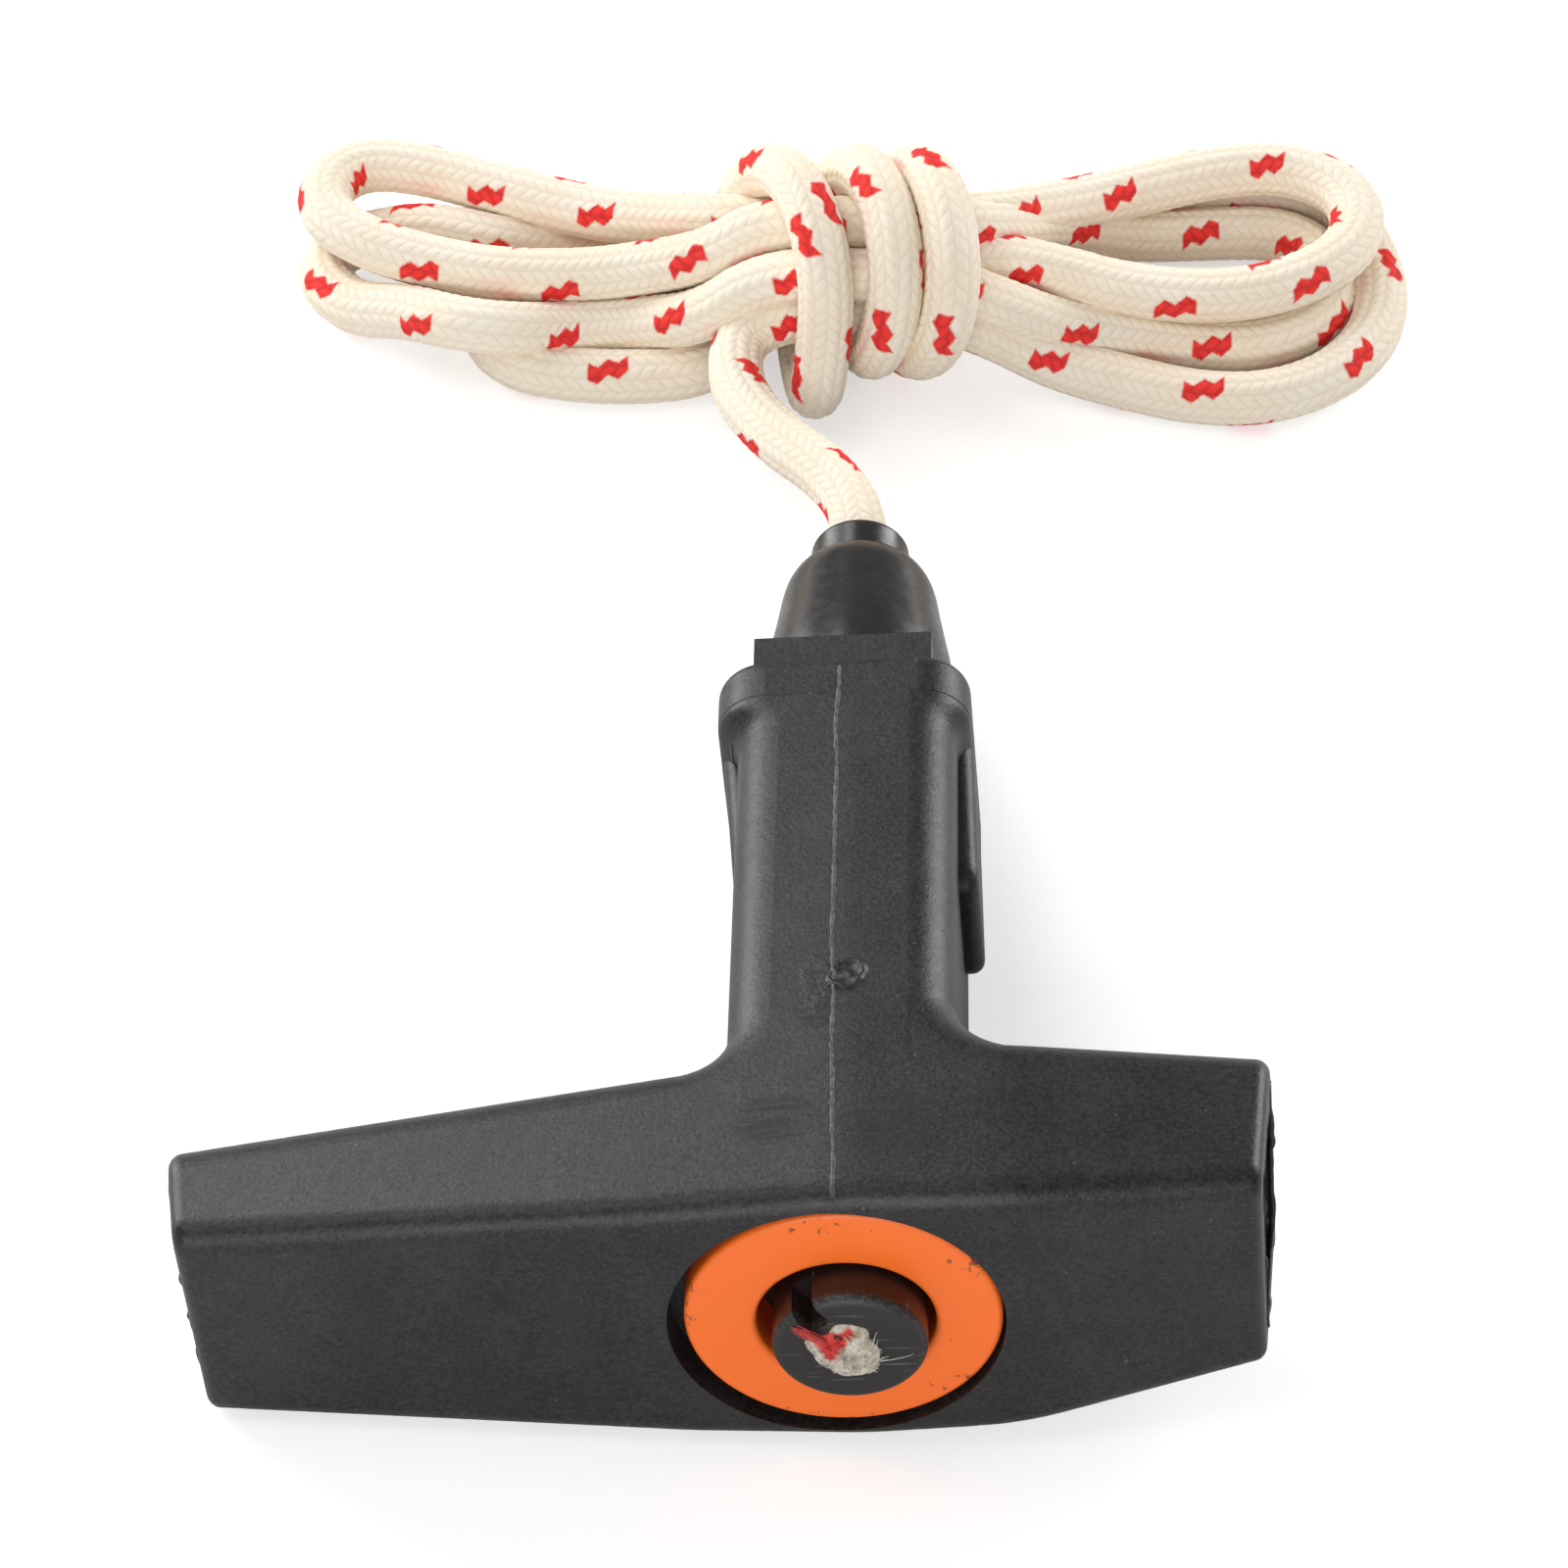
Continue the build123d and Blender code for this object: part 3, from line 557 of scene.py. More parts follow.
def makeCrotch(sizes):
    # the grip's edge profile, flat, quarter round and wall, turned through a quarter about an upright axis
    big, small, reach = sizes["round"], sizes["edgeRound"], sizes["reach"]
    lean = np.radians(np.linspace(90, 0, 12))
    inward = np.concatenate([[small + reach, small + 2.6, small + 1.2], small * (1 - np.cos(lean))])
    drop = np.concatenate([[0.06, 0.03, 0.02], 0.02 + small * (1 - np.sin(lean))])
    # and back inside it, so that the piece is a shell that stays clear of the bore
    innerIn, innerDrop = np.array([small + reach, small, 2.3, 1.3]), np.array([1.1, 1.3, 2.4, small])
    side = np.repeat([1.0, -1.0, 1.0], [len(inward), len(inward) + len(innerIn), len(innerIn)])
    inward = np.concatenate([inward, inward[::-1], innerIn, innerIn[::-1]])
    drop = np.concatenate([drop, drop[::-1], innerDrop, innerDrop[::-1]])
    spin = np.radians(np.concatenate([[180], np.linspace(180, 270, 22), [270]]))[:, None]
    x = sizes["stemSide"] + big + (big + inward) * np.cos(spin)
    y = sizes["barRear"] + big + (big + inward) * np.sin(spin)
    flat = np.full_like(x, sizes["flatAt"])
    z = gripSurface(x, flat) + (y - flat) * sizes["slope"] - drop
    # past its ends the piece runs on a little, just under the grip's own faces
    y[0], x[0], z[0] = y[0] + 2, x[0] - 0.12, z[0] - 0.12
    x[-1], y[-1], z[-1] = x[-1] + 2, y[-1] - 0.12, z[-1] - 0.3
    return tubePiece("crotchRound", gripPlace(x, y, z * side))


collarSizes = {
    "from": 58.6,
    "to": 63.3,
    "stem": (-9.6, 10.3, 13.5, 4.2),       # left, right, half height and corner round
    "collar": (-11.6, 11.6, 13.3, 4.6),
    "under": 0.05,                         # how far its ends lie under the grip's surface
    "ease": 1.7,
    "full": 1.12,                          # it reaches the collar's outline a little before its end
}


def roundedBox(left, right, half, corner, steps=12):
    # the outline of a box with quarter rounds, as many points whatever its size
    spin = np.radians(np.concatenate([np.linspace(a, a + 90, steps) for a in (0, 90, 180, 270)]))
    centreX = np.repeat([right - corner, left + corner, left + corner, right - corner], steps)
    centreZ = np.repeat([half - corner, half - corner, corner - half, corner - half], steps)
    return np.stack([centreX + corner * np.cos(spin), centreZ + corner * np.sin(spin)], 1)


def justUnder(outline, y):
    # the outline drawn in to just under the grip's surface, wherever it stands out of it
    far = np.linalg.norm(outline, axis=1)
    way = outline / far[:, None]
    away = np.full(len(way), clearOfGrip)
    starts = gripPlace(way[:, 0] * away, np.full(len(way), y), way[:, 1] * away)
    inward = -(way[:, :1] * sideways + way[:, 1:] * upwards)
    deep = np.array([gripTree.ray_cast(Vector(a * mm), Vector(b))[3] for a, b in zip(starts, inward)]) / mm
    return way * (np.minimum(far, away - deep) - collarSizes["under"])[:, None]


def makeCollarBlend(sizes):
    # the stem's outline swells into the collar's: a weighted mean of the two whose weight eases in and out
    share = np.linspace(0, 1, 26)[:, None, None]
    weight = np.clip(share * sizes["full"], 0, 1) ** sizes["ease"]
    weight = weight * weight * (3 - 2 * weight)
    thin = justUnder(roundedBox(*sizes["stem"]), sizes["from"])
    wide = justUnder(roundedBox(*sizes["collar"]), sizes["to"])
    outline = thin + (wide - thin) * weight
    y = sizes["from"] + (sizes["to"] - sizes["from"]) * share[:, :, 0]
    return tubePiece("collarBlend", gripPlace(outline[..., 0], y, outline[..., 1]))


gateScar = {
    "place": (1.0, 26.7),
    "radius": 1.9,
    "stretch": 1.15,       # longer along the stem than across
    "rim": 0.24,
    "rough": 0.07,
}


def makeGateScar(sizes):
    # a low uneven disc with a raised rim: its height is a bump over the radius plus a soft noise
    share = np.linspace(1, 0.03, 16)[:, None]
    spin = (np.arange(48) / 48 * turn)[None, :]
    reach = sizes["radius"] * (1 + 0.12 * waves(spin * 4, 0 * spin, 31, 9))
    x = sizes["place"][0] + share * reach * np.cos(spin)
    y = sizes["place"][1] + share * reach * np.sin(spin) * sizes["stretch"]
    rim = sizes["rim"] * np.exp(-(((share - 0.74) / 0.13) ** 2)) + 0.05 * (share < 0.7)
    height = np.where(share > 0.97, -0.15, rim + sizes["rough"] * waves(x, y, 6, 1.1))
    return tubePiece("gateScar", gripPlace(x, y, gripSurface(x, y) + height))


armEnds = {
    "rightFlash": ((35.9, 3.6), (37.3, 20.1), 1),      # front and rear corner of the arm's end, and its way out
    "leftFlash": ((-56.3, 1.8), (-57.9, 13.7), -1),
}
flashSizes = {
    "inside": 0.5,
    "height": 0.1,
    "ragged": 0.15,
    "thickness": 0.3,
    "steps": 220,
}


def makeFlash(name, end, sizes):
    # rays from the middle of the opening find its rim, and a ragged fin stands out along it
    (frontX, frontY), (rearX, rearY), way = end
    alongEnd = np.array([rearX - frontX, rearY - frontY]) / math.hypot(rearX - frontX, rearY - frontY)
    out = np.array([alongEnd[1], -alongEnd[0]]) * way
    middle = np.array([(frontX + rearX) / 2, (frontY + rearY) / 2]) - out * sizes["inside"]
    spin = np.arange(sizes["steps"]) / sizes["steps"] * turn
    start = gripPlace(middle[0], middle[1], 0.0)
    rearward = alongEnd[0] * sideways + alongEnd[1] * ahead
    ways = np.cos(spin)[:, None] * rearward + np.sin(spin)[:, None] * upwards
    reach = np.array([gripTree.ray_cast(Vector(start * mm), Vector(w))[3] for w in ways]) / mm
    ragged = np.clip(waves(spin * 9, 0 * spin, 41, 4.2, 8) + 0.6 * waves(spin * 9, 0 * spin, 17, 14), -0.2, 1.6)
    fin = sizes["inside"] + sizes["height"] + sizes["ragged"] * np.maximum(ragged, 0)
    spread = np.array([0.3, 0.16, 0.16 - sizes["thickness"], 0.2 - sizes["thickness"]])
    rise = np.stack([0 * fin + 0.1, fin, fin - 0.06, 0 * fin + 0.1], 1)
    outwards = out[0] * sideways + out[1] * ahead
    places = start + (reach[:, None] + spread)[..., None] * ways[:, None] + rise[..., None] * outwards
    return meshPiece(name, places.reshape(-1, 3), gridFaces(len(spin), 4, True, True).tolist())


mouldedPieces = [
    makeSeam(seamSizes), makeGateScar(gateScar), makeCrotch(crotchSizes), makeCollarBlend(collarSizes),
    *(makeFlash(name, end, flashSizes) for name, end in armEnds.items()),
]
for piece in mouldedPieces:
    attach(piece, "grip")
print("parting line, rounds and flash made")


def newMaterial(name):
    material = bpy.data.materials.new(name)
    material.use_nodes = True
    tree = material.node_tree
    return material, tree, tree.nodes["Principled BSDF"]


def plug(tree, source, target):
    # a number, a colour or another node's output into a node's input
    if isinstance(source, bpy.types.NodeSocket):
        tree.links.new(source, target)
    else:
        target.default_value = source


def times(tree, a, b):
    return calc(tree, "MULTIPLY", a, b)


def calc(tree, operation, a, b=0.0, c=0.0):
    node = tree.nodes.new("ShaderNodeMath")
    node.operation = operation
    for value, socket in zip((a, b, c), node.inputs):
        plug(tree, value, socket)
    return node.outputs[0]


def noise(tree, space, scale, detail=3.0, roughness=0.55):
    node = tree.nodes.new("ShaderNodeTexNoise")
    plug(tree, space, node.inputs["Vector"])
    node.inputs["Scale"].default_value = scale
    node.inputs["Detail"].default_value = detail
    node.inputs["Roughness"].default_value = roughness
    return node.outputs["Fac"]


def ramp(tree, value, low, high, start=0.0, end=1.0):
    # start below low, end above high and a straight way between
    node = tree.nodes.new("ShaderNodeMapRange")
    for source, name in ((value, "Value"), (low, "From Min"), (high, "From Max"), (start, "To Min"), (end, "To Max")):
        plug(tree, source, node.inputs[name])
    return node.outputs[0]


def mix(tree, share, a, b):
    node = tree.nodes.new("ShaderNodeMix")
    node.data_type = "RGBA"
    plug(tree, share, node.inputs["Factor"])
    for colour, name in ((a, "A"), (b, "B")):
        socket = next(s for s in node.inputs if s.name == name and s.type == "RGBA")
        plug(tree, (*colour, 1) if isinstance(colour, tuple) else colour, socket)
    return next(s for s in node.outputs if s.type == "RGBA")


def bump(tree, height, depth, strength=1.0, under=None):
    # relief of a depth in millimetres, on top of another relief if one is given
    node = tree.nodes.new("ShaderNodeBump")
    node.inputs["Strength"].default_value = strength
    node.inputs["Distance"].default_value = depth * mm
    plug(tree, height, node.inputs["Height"])
    if under:
        tree.links.new(under, node.inputs["Normal"])
    return node.outputs["Normal"]


def gripSpace(tree):
    # the grip's own axes in millimetres, from Object coordinates
    place = tree.nodes.new("ShaderNodeTexCoord").outputs["Object"]
    node = tree.nodes.new("ShaderNodeMapping")
    node.vector_type = "TEXTURE"
    tree.links.new(place, node.inputs["Vector"])
    axes = Matrix([sideways, ahead, upwards]).transposed()
    node.inputs["Location"].default_value = gripZero * mm
    node.inputs["Rotation"].default_value = axes.to_euler("XYZ")
    node.inputs["Scale"].default_value = (mm, mm, mm)
    return node.outputs[0]


def parts(tree, vector):
    node = tree.nodes.new("ShaderNodeSeparateXYZ")
    tree.links.new(vector, node.inputs[0])
    return node.outputs


def stretched(tree, space, angle, scale):
    # the same space turned and drawn out, for patterns that run one way
    node = tree.nodes.new("ShaderNodeMapping")
    tree.links.new(space, node.inputs["Vector"])
    node.inputs["Rotation"].default_value = angle
    node.inputs["Scale"].default_value = scale
    return node.outputs[0]


def attribute(tree, name, output):
    node = tree.nodes.new("ShaderNodeAttribute")
    node.attribute_name = name
    return node.outputs[output]


def scaled(colour, share):
    return tuple(channel * share for channel in colour)


def blob(tree, space, centre, sizes, edge):
    # 1 inside an oval round a place and 0 outside, with a soft edge that a noise makes uneven
    x, y, z = parts(tree, space)
    total = 0.0
    for value, middle, size in zip((x, y, z), centre, sizes):
        share = calc(tree, "DIVIDE", calc(tree, "SUBTRACT", value, middle), size)
        total = calc(tree, "ADD", times(tree, share, share), total)
    total = calc(tree, "ADD", total, calc(tree, "MULTIPLY_ADD", edge, 2.2, -1.1))
    return ramp(tree, total, 0.6, 1.15, 1.0, 0.0)


gripFinish = {
    "colour": (0.0125, 0.0125, 0.013),
    "worn": (0.13, 0.13, 0.13),
    "roughness": 0.38,
    "grain": 0.05,                       # depth of the moulded grain
    "unevenness": 0.05,                  # and of the coarser relief under it
    "dark": 0.5,                         # shares of the colour that the grain goes between
    "light": 2.4,
    "scuffShare": 0.3,
    "dotShare": 0.6,
    "smudgeShare": 0.6,
    "smudgeDark": 0.35,
    "smudgeRough": 0.16,
    "scarGloss": 0.1,
    "specular": 0.4,
    # middle and half widths of each mark, in the grip's own axes
    "scar": ((-1.6, 26.0, 15.0), (1.5, 3.6, 4.0)),
    "scuffs": ((0.5, 5.0, 16.0), (11.0, 5.0, 3.0)),
    "smudges": [
        ((-4.8, 9.8, 16.0), (3.6, 3.0, 3.0)), ((4.8, 9.0, 16.0), (4.2, 3.8, 3.0)),
        ((-1.5, 24.0, 15.0), (2.0, 4.0, 4.0)),
    ],
}


def gripMaterial(finish):
    material, tree, shader = newMaterial("gripPlastic")
    space = gripSpace(tree)
    patches = noise(tree, space, 0.16, 4.0)
    grain = noise(tree, space, 2.6, 3.0, 0.75)
    coarse = noise(tree, space, 1.1, 4.0, 0.65)
    # scratches: a noise drawn out long across the bar, cut to its thin crests
    drawnOut = stretched(tree, space, (0, 0, 0.12), (0.3, 3.0, 1.0))
    lines = ramp(tree, noise(tree, drawnOut, 1.2, 5.0, 0.7), 0.6, 0.68)
    rubbed = times(tree, blob(tree, space, *finish["scuffs"], patches), lines)
    dots = ramp(tree, noise(tree, space, 1.7, 2.0, 0.4), 0.76, 0.775)
    scar = blob(tree, space, *finish["scar"], coarse)
    smudge = 0.0
    for place in finish["smudges"]:
        smudge = calc(tree, "ADD", blob(tree, space, *place, coarse), smudge)
    smears = ramp(tree, noise(tree, drawnOut, 0.6, 4.0, 0.6), 0.44, 0.56, 0.15, 1.0)
    smudge = times(tree, smudge, smears)
    marks = calc(tree, "MAXIMUM", times(tree, rubbed, finish["scuffShare"]), times(tree, dots, finish["dotShare"]))
    speckled = calc(tree, "ADD", times(tree, patches, 0.35), times(tree, grain, 1.3))
    plain = mix(tree, ramp(tree, speckled, 0.68, 1.0), scaled(finish["colour"], finish["dark"]),
                scaled(finish["colour"], finish["light"]))
    plain = mix(tree, times(tree, smudge, finish["smudgeShare"]), plain,
                scaled(finish["colour"], finish["smudgeDark"]))
    plug(tree, mix(tree, marks, plain, finish["worn"]), shader.inputs["Base Color"])
    rough = calc(tree, "MULTIPLY_ADD", coarse, 0.2, finish["roughness"] - 0.1)
    rough = calc(tree, "ADD", rough, times(tree, smudge, finish["smudgeRough"]))
    rough = calc(tree, "SUBTRACT", rough, times(tree, scar, finish["scarGloss"]))
    plug(tree, rough, shader.inputs["Roughness"])
    relief = calc(tree, "MULTIPLY_ADD", scar, times(tree, coarse, 1.5), grain)
    fine = bump(tree, relief, finish["grain"])
    plug(tree, bump(tree, coarse, finish["unevenness"], 0.5, fine), shader.inputs["Normal"])
    shader.inputs["Specular IOR Level"].default_value = finish["specular"]
    return material


seamFinish = {
    "dark": (0.045, 0.045, 0.045),
    "pale": (0.12, 0.12, 0.12),
    "roughness": 0.5,
}


def seamMaterial(finish):
    material, tree, shader = newMaterial("gripFlash")
    space = gripSpace(tree)
    spots = noise(tree, space, 1.4, 4.0, 0.7)
    colour = mix(tree, ramp(tree, spots, 0.45, 0.62), finish["dark"], finish["pale"])
    plug(tree, colour, shader.inputs["Base Color"])
    plug(tree, bump(tree, noise(tree, space, 4.0), 0.1, 0.7), shader.inputs["Normal"])
    shader.inputs["Roughness"].default_value = finish["roughness"]
    return material


ringFinish = {
    "colour": (1.0, 0.165, 0.014),
    "paler": (1.0, 0.19, 0.022),
    # painted shade for the hole's wall and the recess behind it
    "deep": (0.8, 0.06, 0.006),
    "dirt": (0.1, 0.03, 0.015),
    "dirtShare": 0.8,
    "roughness": (0.34, 0.46),
    # rubbed places on the face: middle and half widths
    "dirty": [
        ((-1.2, 0.5, 12.3), (2.6, 3, 1.1)), ((9.0, 0.5, -8.9), (3.0, 3, 1.2)), ((11.2, 0.5, 7.4), (1.8, 3, 2.4)),
        ((-3.0, 0.5, -13.0), (4.5, 3, 0.8)), ((-12.8, 0.5, 4.0), (1.0, 3, 4.5)),
    ],
}


def ringMaterial(finish):
    material, tree, shader = newMaterial("ringPlastic")
    space = gripSpace(tree)
    soft = noise(tree, space, 0.22, 3.0)
    _, y, _ = parts(tree, space)
    # painted shade: the hole's wall and the recess behind it are given a darker, redder orange than the face
    face = mix(tree, soft, finish["colour"], finish["paler"])
    colour = mix(tree, ramp(tree, y, 1.1, 3.0), face, finish["deep"])
    specks = ramp(tree, noise(tree, space, 1.5, 3.0, 0.6), 0.70, 0.74)
    patch = ramp(tree, noise(tree, space, 0.17, 2.0), 0.46, 0.6)
    rubbed = times(tree, specks, patch)
    streaks = ramp(tree, noise(tree, space, 1.1, 4.0, 0.65), 0.57, 0.63)
    for place in finish["dirty"]:
        rubbed = calc(tree, "MAXIMUM", rubbed, times(tree, blob(tree, space, *place, soft), streaks))
    colour = mix(tree, times(tree, rubbed, finish["dirtShare"]), colour, finish["dirt"])
    plug(tree, colour, shader.inputs["Base Color"])
    plug(tree, bump(tree, noise(tree, space, 1.2, 4.0), 0.05, 0.4), shader.inputs["Normal"])
    plug(tree, ramp(tree, soft, 0.3, 0.7, *finish["roughness"]), shader.inputs["Roughness"])
    return material


plugFinish = {
    "face": (0.014, 0.0135, 0.013),
    "side": (0.01, 0.006, 0.005),
    "sideWorn": (0.024, 0.014, 0.012),
    # the pale of the scratches and of the painted highlight on the rim, then how strong that highlight is
    "rubbed": (0.2, 0.2, 0.2),
    "rimHighlightShare": 0.25,
    "scratchShare": 0.35,
    "roughness": (0.5, 0.3),     # of the face and of the side
}


def plugMaterial(finish):
    material, tree, shader = newMaterial("plugPlastic")
    space = gripSpace(tree)
    _, y, _ = parts(tree, space)
    # the face is grey and dull, the side is browner and shinier, and a pale band round the rim is a painted highlight,
    # broken into specks
    side = ramp(tree, y, -2.75, -1.7)
    wander = noise(tree, space, 0.9, 4.0)
    # painted highlight: a pale band on the round of the face's rim
    rim = times(tree, ramp(tree, y, -2.88, -2.5), ramp(tree, y, -2.3, -1.6, 1.0, 0.0))
    colour = mix(tree, side, finish["face"], mix(tree, wander, finish["side"], finish["sideWorn"]))
    # the painted rim highlight, broken into specks by a noise
    rubbed = times(tree, rim, ramp(tree, noise(tree, space, 3.2, 3.0, 0.7), 0.42, 0.62))
    drawnOut = stretched(tree, space, (0, 0.35, 0), (0.22, 1.0, 4.0))
    scratches = ramp(tree, noise(tree, drawnOut, 0.9, 2.0, 0.4), 0.69, 0.7)
    rubbed, scratches = times(tree, rubbed, finish["rimHighlightShare"]), times(tree, scratches, finish["scratchShare"])
    marks = calc(tree, "MAXIMUM", rubbed, scratches)
    plug(tree, mix(tree, marks, colour, finish["rubbed"]), shader.inputs["Base Color"])
    plug(tree, ramp(tree, side, 0.0, 1.0, *finish["roughness"]), shader.inputs["Roughness"])
    plug(tree, bump(tree, noise(tree, space, 3.0, 3.0, 0.6), 0.05, 0.6), shader.inputs["Normal"])
    return material


nippleFinish = {
    "dark": (0.016, 0.0145, 0.0142),
    "light": (0.022, 0.0198, 0.019),
    "roughness": (0.22, 0.3),
}


def nippleMaterial(finish):
    material, tree, shader = newMaterial("nipplePlastic")
    space = gripSpace(tree)
    cloud = noise(tree, space, 0.3, 4.0)
    plug(tree, mix(tree, ramp(tree, cloud, 0.35, 0.65), finish["dark"], finish["light"]), shader.inputs["Base Color"])
    plug(tree, ramp(tree, noise(tree, space, 0.8), 0.35, 0.65, *finish["roughness"]), shader.inputs["Roughness"])
    plug(tree, bump(tree, noise(tree, space, 0.6, 2.0), 0.03, 0.5), shader.inputs["Normal"])
    return material


springFinish = {
    "dark": (0.42, 0.41, 0.40),
    "light": (0.55, 0.53, 0.5),
    "roughness": (0.25, 0.42),
}


def springMaterial(finish):
    material, tree, shader = newMaterial("springSteel")
    film = noise(tree, gripSpace(tree), 0.5)
    plug(tree, mix(tree, film, finish["dark"], finish["light"]), shader.inputs["Base Color"])
    plug(tree, ramp(tree, film, 0.3, 0.7, *finish["roughness"]), shader.inputs["Roughness"])
    shader.inputs["Metallic"].default_value = 1.0
    return material


ropeFinish = {
    "cream": (0.93, 0.81, 0.64),
    "pale": (0.95, 0.87, 0.74),
    # painted shade: a darker, warmer cream in the grooves between the stitches
    "grooveShade": (0.76, 0.56, 0.38),
    "red": (0.9, 0.045, 0.04),
    "grooveShadeShare": 0.22,        # how much of the painted groove shade shows between the stitches
    # the red flecks are painted darker by this share in the grooves, as shade
    "redShade": 0.75,
    "roughness": 0.8,
    "specular": 0.25,
    "relief": 0.16,             # depth of the fibres
    "fleckStart": 8.6,
    "fleckSpacing": 14.4,       # along a row
    "fleckStagger": 1.07,       # of each row past the last, in shares of the spacing over the rows
    "fleckRows": 3,
    "fleckLength": 4.0,
    "fleckWidth": 1.8,
    "fleckLean": -0.28,
    "fleckRise": 0.72,          # how far a fleck zigzags
    "fleckStray": (4.0, 2.0),   # how far a fleck may lie off its place, along and round the rope
}


def ropeMaterial(finish):
    material, tree, shader = newMaterial("ropeBraid")
    space = attribute(tree, "ropeSpace", "Vector")
    along, around, _ = parts(tree, space)
    # stitches: the same columns of slanted stitches as the mesh has
    column = times(tree, around, ropeSizes["columns"] / (ropeSizes["diameter"] * math.pi))
    share = calc(tree, "FRACT", column)
    side = calc(tree, "MODULO", calc(tree, "FLOOR", column), 2.0)
    stitchLean = ropeSizes["stitchLean"]
    turned = calc(tree, "MULTIPLY_ADD", side, 2 * stitchLean, -stitchLean)
    lean = times(tree, calc(tree, "SUBTRACT", share, 0.5), turned)
    slanted = calc(tree, "ADD", calc(tree, "DIVIDE", along, ropeSizes["stitch"]), lean)
    slanted = calc(tree, "FRACT", calc(tree, "MULTIPLY_ADD", side, 0.5, slanted))
    crown = times(tree, calc(tree, "SINE", times(tree, slanted, math.pi)),
                  calc(tree, "SINE", times(tree, share, math.pi)))
    stitches = calc(tree, "POWER", crown, 0.5)
    fibres = noise(tree, space, 5.0, 2.0, 0.6)
    # flecks: in each row round the rope, one every spacing, each a short band that zigzags twice
    rowWidth = ropeSizes["diameter"] * math.pi / finish["fleckRows"]
    row = calc(tree, "FLOOR", calc(tree, "DIVIDE", around, rowWidth))
    stagger = finish["fleckSpacing"] / finish["fleckRows"] * finish["fleckStagger"]
    shifted = calc(tree, "ADD", calc(tree, "MULTIPLY_ADD", row, stagger, along), finish["fleckStart"])
    cell = calc(tree, "DIVIDE", shifted, finish["fleckSpacing"])
    chance = tree.nodes.new("ShaderNodeTexWhiteNoise")
    chance.noise_dimensions = "2D"
    spot = tree.nodes.new("ShaderNodeCombineXYZ")
    plug(tree, calc(tree, "FLOOR", cell), spot.inputs[0])
    plug(tree, row, spot.inputs[1])
    tree.links.new(spot.outputs[0], chance.inputs["Vector"])
    stray, drift, _ = parts(tree, chance.outputs["Color"])
    # how far a place is off its fleck's middle, along the rope and round it
    wideStray, narrowStray = finish["fleckStray"]
    lengthwise = times(tree, calc(tree, "SUBTRACT", calc(tree, "FRACT", cell), 0.5), finish["fleckSpacing"])
    lengthwise = calc(tree, "ADD", lengthwise, calc(tree, "MULTIPLY_ADD", stray, wideStray, -wideStray / 2))
    crosswise = calc(tree, "SUBTRACT", around, times(tree, calc(tree, "ADD", row, 0.5), rowWidth))
    crosswise = calc(tree, "ADD", crosswise, calc(tree, "MULTIPLY_ADD", drift, narrowStray, -narrowStray / 2))
    crosswise = calc(tree, "MULTIPLY_ADD", lengthwise, finish["fleckLean"], crosswise)
    halfLength, halfWidth, halfPeak = finish["fleckLength"] / 2, finish["fleckWidth"] / 2, finish["fleckLength"] / 4
    zigzag = calc(tree, "PINGPONG", calc(tree, "ADD", lengthwise, halfLength), halfPeak)
    zigzag = times(tree, calc(tree, "SUBTRACT", zigzag, halfPeak / 2), finish["fleckRise"] / halfPeak)
    off = calc(tree, "ABSOLUTE", calc(tree, "ADD", crosswise, zigzag))
    off = calc(tree, "ADD", off, calc(tree, "MULTIPLY_ADD", fibres, 0.5, -0.25))
    inWidth = ramp(tree, off, halfWidth - 0.14, halfWidth + 0.14, 1.0, 0.0)
    inLength = ramp(tree, calc(tree, "ABSOLUTE", lengthwise), halfLength - 0.15, halfLength + 0.1, 1.0, 0.0)
    fleck = times(tree, inWidth, inLength)
    cloud = noise(tree, space, 0.12, 3.0)
    cream = mix(tree, ramp(tree, cloud, 0.3, 0.7), finish["cream"], finish["pale"])
    # painted shade: the cream and the red are darkened in the grooves between the stitches
    cream = mix(tree, ramp(tree, stitches, 0.1, 0.7, finish["grooveShadeShare"], 0.0), cream, finish["grooveShade"])
    red = mix(tree, ramp(tree, stitches, 0.2, 0.9), scaled(finish["red"], finish["redShade"]), finish["red"])
    plug(tree, mix(tree, fleck, cream, red), shader.inputs["Base Color"])
    relief = calc(tree, "MULTIPLY_ADD", fibres, 0.25, stitches)
    plug(tree, bump(tree, relief, finish["relief"], 0.6), shader.inputs["Normal"])
    shader.inputs["Roughness"].default_value = finish["roughness"]
    shader.inputs["Specular IOR Level"].default_value = finish["specular"]
    return material


frayFinish = {
    "pale": ((0.36, 0.3, 0.2), (0.82, 0.76, 0.67)),    # painted shade in patches, as in folds, and the colour on the folds
    # the red fibres' painted fold shade and their colour on the folds
    "red": ((0.5, 0.02, 0.02), (0.95, 0.09, 0.07)),
    "roughness": 0.45,
}
fibreFinish = {
    # colour on the fibres and in their shade
    "ropeInner": ((0.9, 0.8, 0.65), (0.7, 0.55, 0.4)),
    "paleFibres": ((0.9, 0.87, 0.8), (0.5, 0.45, 0.38)),
    "redFibres": ((0.85, 0.1, 0.08), (0.35, 0.03, 0.03)),
}


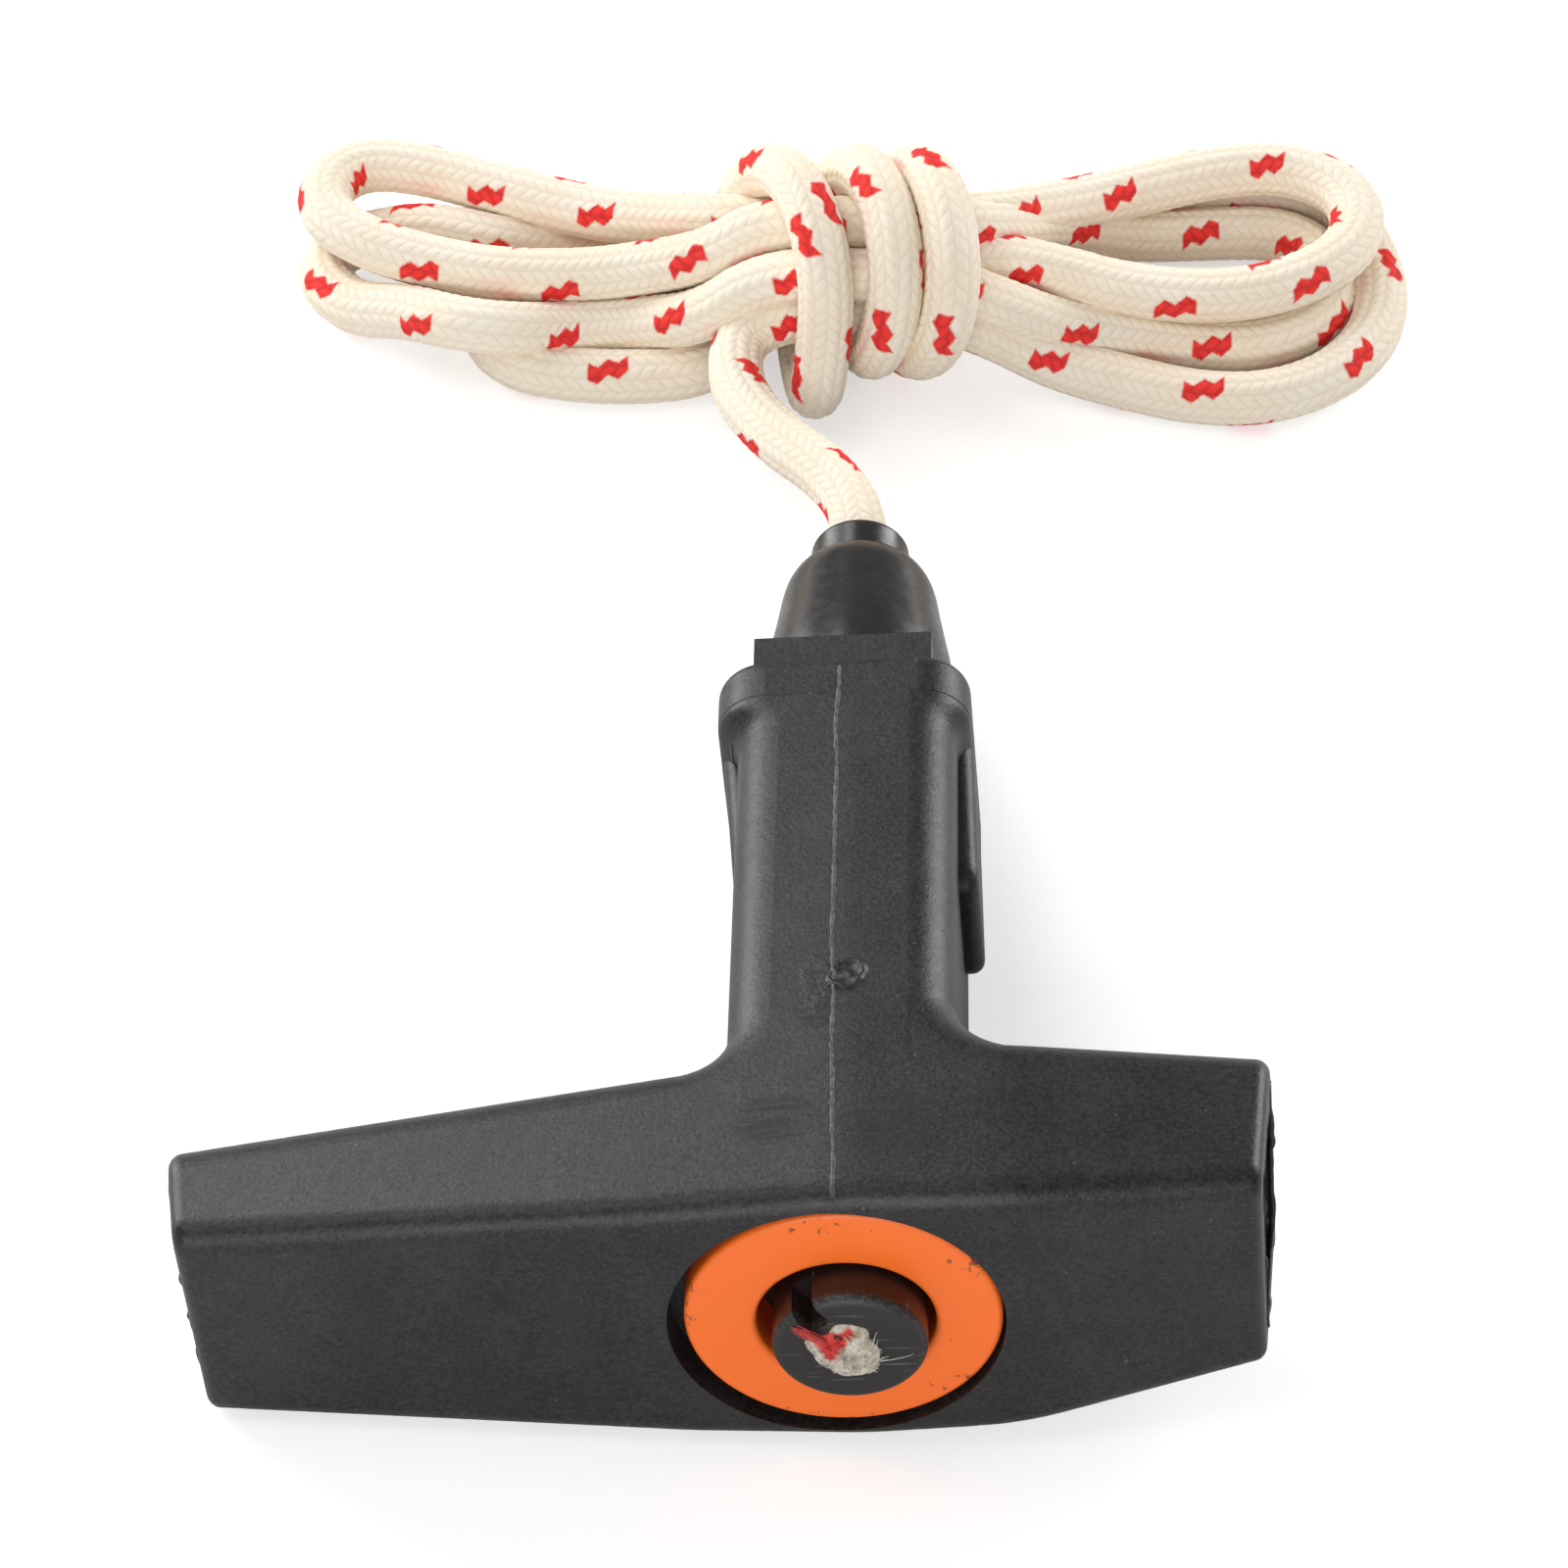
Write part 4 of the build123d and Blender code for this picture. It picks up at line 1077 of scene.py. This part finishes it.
def frayMaterial(finish):
    material, tree, shader = newMaterial("frayFibres")
    space = gripSpace(tree)
    red = attribute(tree, "redness", "Fac")
    # painted shade: a noise darkens the fray in patches, as if in its folds
    paintedFoldShade = noise(tree, space, 1.6, 4.0, 0.65)
    pale = mix(tree, ramp(tree, paintedFoldShade, 0.35, 0.6), *finish["pale"])
    bright = mix(tree, ramp(tree, paintedFoldShade, 0.4, 0.65), *finish["red"])
    plug(tree, mix(tree, red, pale, bright), shader.inputs["Base Color"])
    shader.inputs["Roughness"].default_value = finish["roughness"]
    plug(tree, bump(tree, noise(tree, space, 4.5, 4.0, 0.7), 0.25, 0.9), shader.inputs["Normal"])
    return material


def hairMaterial(name):
    colour, dark = fibreFinish[name]
    material, tree, shader = newMaterial(name)
    plug(tree, mix(tree, noise(tree, gripSpace(tree), 1.5, 2.0), dark, colour), shader.inputs["Base Color"])
    shader.inputs["Roughness"].default_value = 0.4
    return material


finishes = {
    "grip_body": gripMaterial(gripFinish),
    "retaining_ring": ringMaterial(ringFinish),
    "rope_plug": plugMaterial(plugFinish),
    "nipple": nippleMaterial(nippleFinish),
}
for name, material in finishes.items():
    nodes[name].data.materials.clear()
    nodes[name].data.materials.append(material)
spring.data.materials.append(springMaterial(springFinish))
rope.data.materials.append(ropeMaterial(ropeFinish))
ropeInside.data.materials.append(hairMaterial("ropeInner"))
ropeFray.data.materials.append(frayMaterial(frayFinish))
paleHairs.data.materials.append(hairMaterial("paleFibres"))
redHairs.data.materials.append(hairMaterial("redFibres"))
flashMaterial = seamMaterial(seamFinish)
for piece in mouldedPieces:
    piece.data.materials.append(flashMaterial if piece.name == "partingLine" else finishes["grip_body"])
plugWell.data.materials.append(finishes["rope_plug"])
print("materials ready")

studio = {
    "floorHalf": 3.0,         # metres
    "floor": 0.8,             # how pale the floor is under the lamps
    "glow": 0.5,              # added for the camera alone, so that the floor meets the white background
    "sky": 0.26,
    "lamps": [
        # name, place from the middle of the handle, size and power
        ("topLamp", (-400, 600, 640), (520, 400), 2.9),
        ("overheadLamp", (-320, -40, 900), (500, 400), 1.4),
        ("frontLamp", (-60, -760, 400), (700, 500), 4.0),
        ("leftLamp", (-660, 560, 260), (420, 520), 4.4),
        ("rightLamp", (660, 560, 260), (420, 520), 4.6),
    ],
}


def makeFloor(sizes):
    mesh = bpy.data.meshes.new("floor")
    half = sizes["floorHalf"]
    mesh.from_pydata([(-half, -half, 0), (half, -half, 0), (half, half, 0), (-half, half, 0)], [], [(0, 1, 2, 3)])
    floor = bpy.data.objects.new("floor", mesh)
    bpy.context.scene.collection.objects.link(floor)
    material, tree, shader = newMaterial("floorPaper")
    shader.inputs["Base Color"].default_value = (*[sizes["floor"]] * 3, 1)
    shader.inputs["Roughness"].default_value = 0.9
    shader.inputs["Specular IOR Level"].default_value = 0.0
    shader.inputs["Emission Color"].default_value = (1, 1, 1, 1)
    rays = tree.nodes.new("ShaderNodeLightPath")
    glow = times(tree, rays.outputs["Is Camera Ray"], sizes["glow"])
    plug(tree, glow, shader.inputs["Emission Strength"])
    mesh.materials.append(material)


def makeSky(strength):
    # white where the camera sees it, straight or through something clear, and softer as a light
    world = bpy.data.worlds.new("sky")
    bpy.context.scene.world = world
    world.use_nodes = True
    tree = world.node_tree
    rays = tree.nodes.new("ShaderNodeLightPath")
    seen = calc(tree, "MAXIMUM", rays.outputs["Is Camera Ray"], rays.outputs["Is Transmission Ray"])
    back = tree.nodes["Background"]
    back.inputs["Color"].default_value = (1, 1, 1, 1)
    plug(tree, ramp(tree, seen, 0.0, 1.0, strength, 1.0), back.inputs["Strength"])


def makeLamp(name, place, size, power):
    data = bpy.data.lights.new(name, "AREA")
    data.shape = "RECTANGLE"
    data.size, data.size_y = size[0] * mm, size[1] * mm
    data.energy = power
    lamp = bpy.data.objects.new(name, data)
    lamp.location = Vector(place) * mm
    lamp.rotation_mode = "QUATERNION"
    lamp.rotation_quaternion = Vector(place).to_track_quat("Z", "Y")
    bpy.context.scene.collection.objects.link(lamp)


makeFloor(studio)
makeSky(studio["sky"])
for lamp in studio["lamps"]:
    makeLamp(*lamp)
bpy.context.scene.view_settings.view_transform = "Standard"
print("studio ready")

bpy.context.view_layer.update()
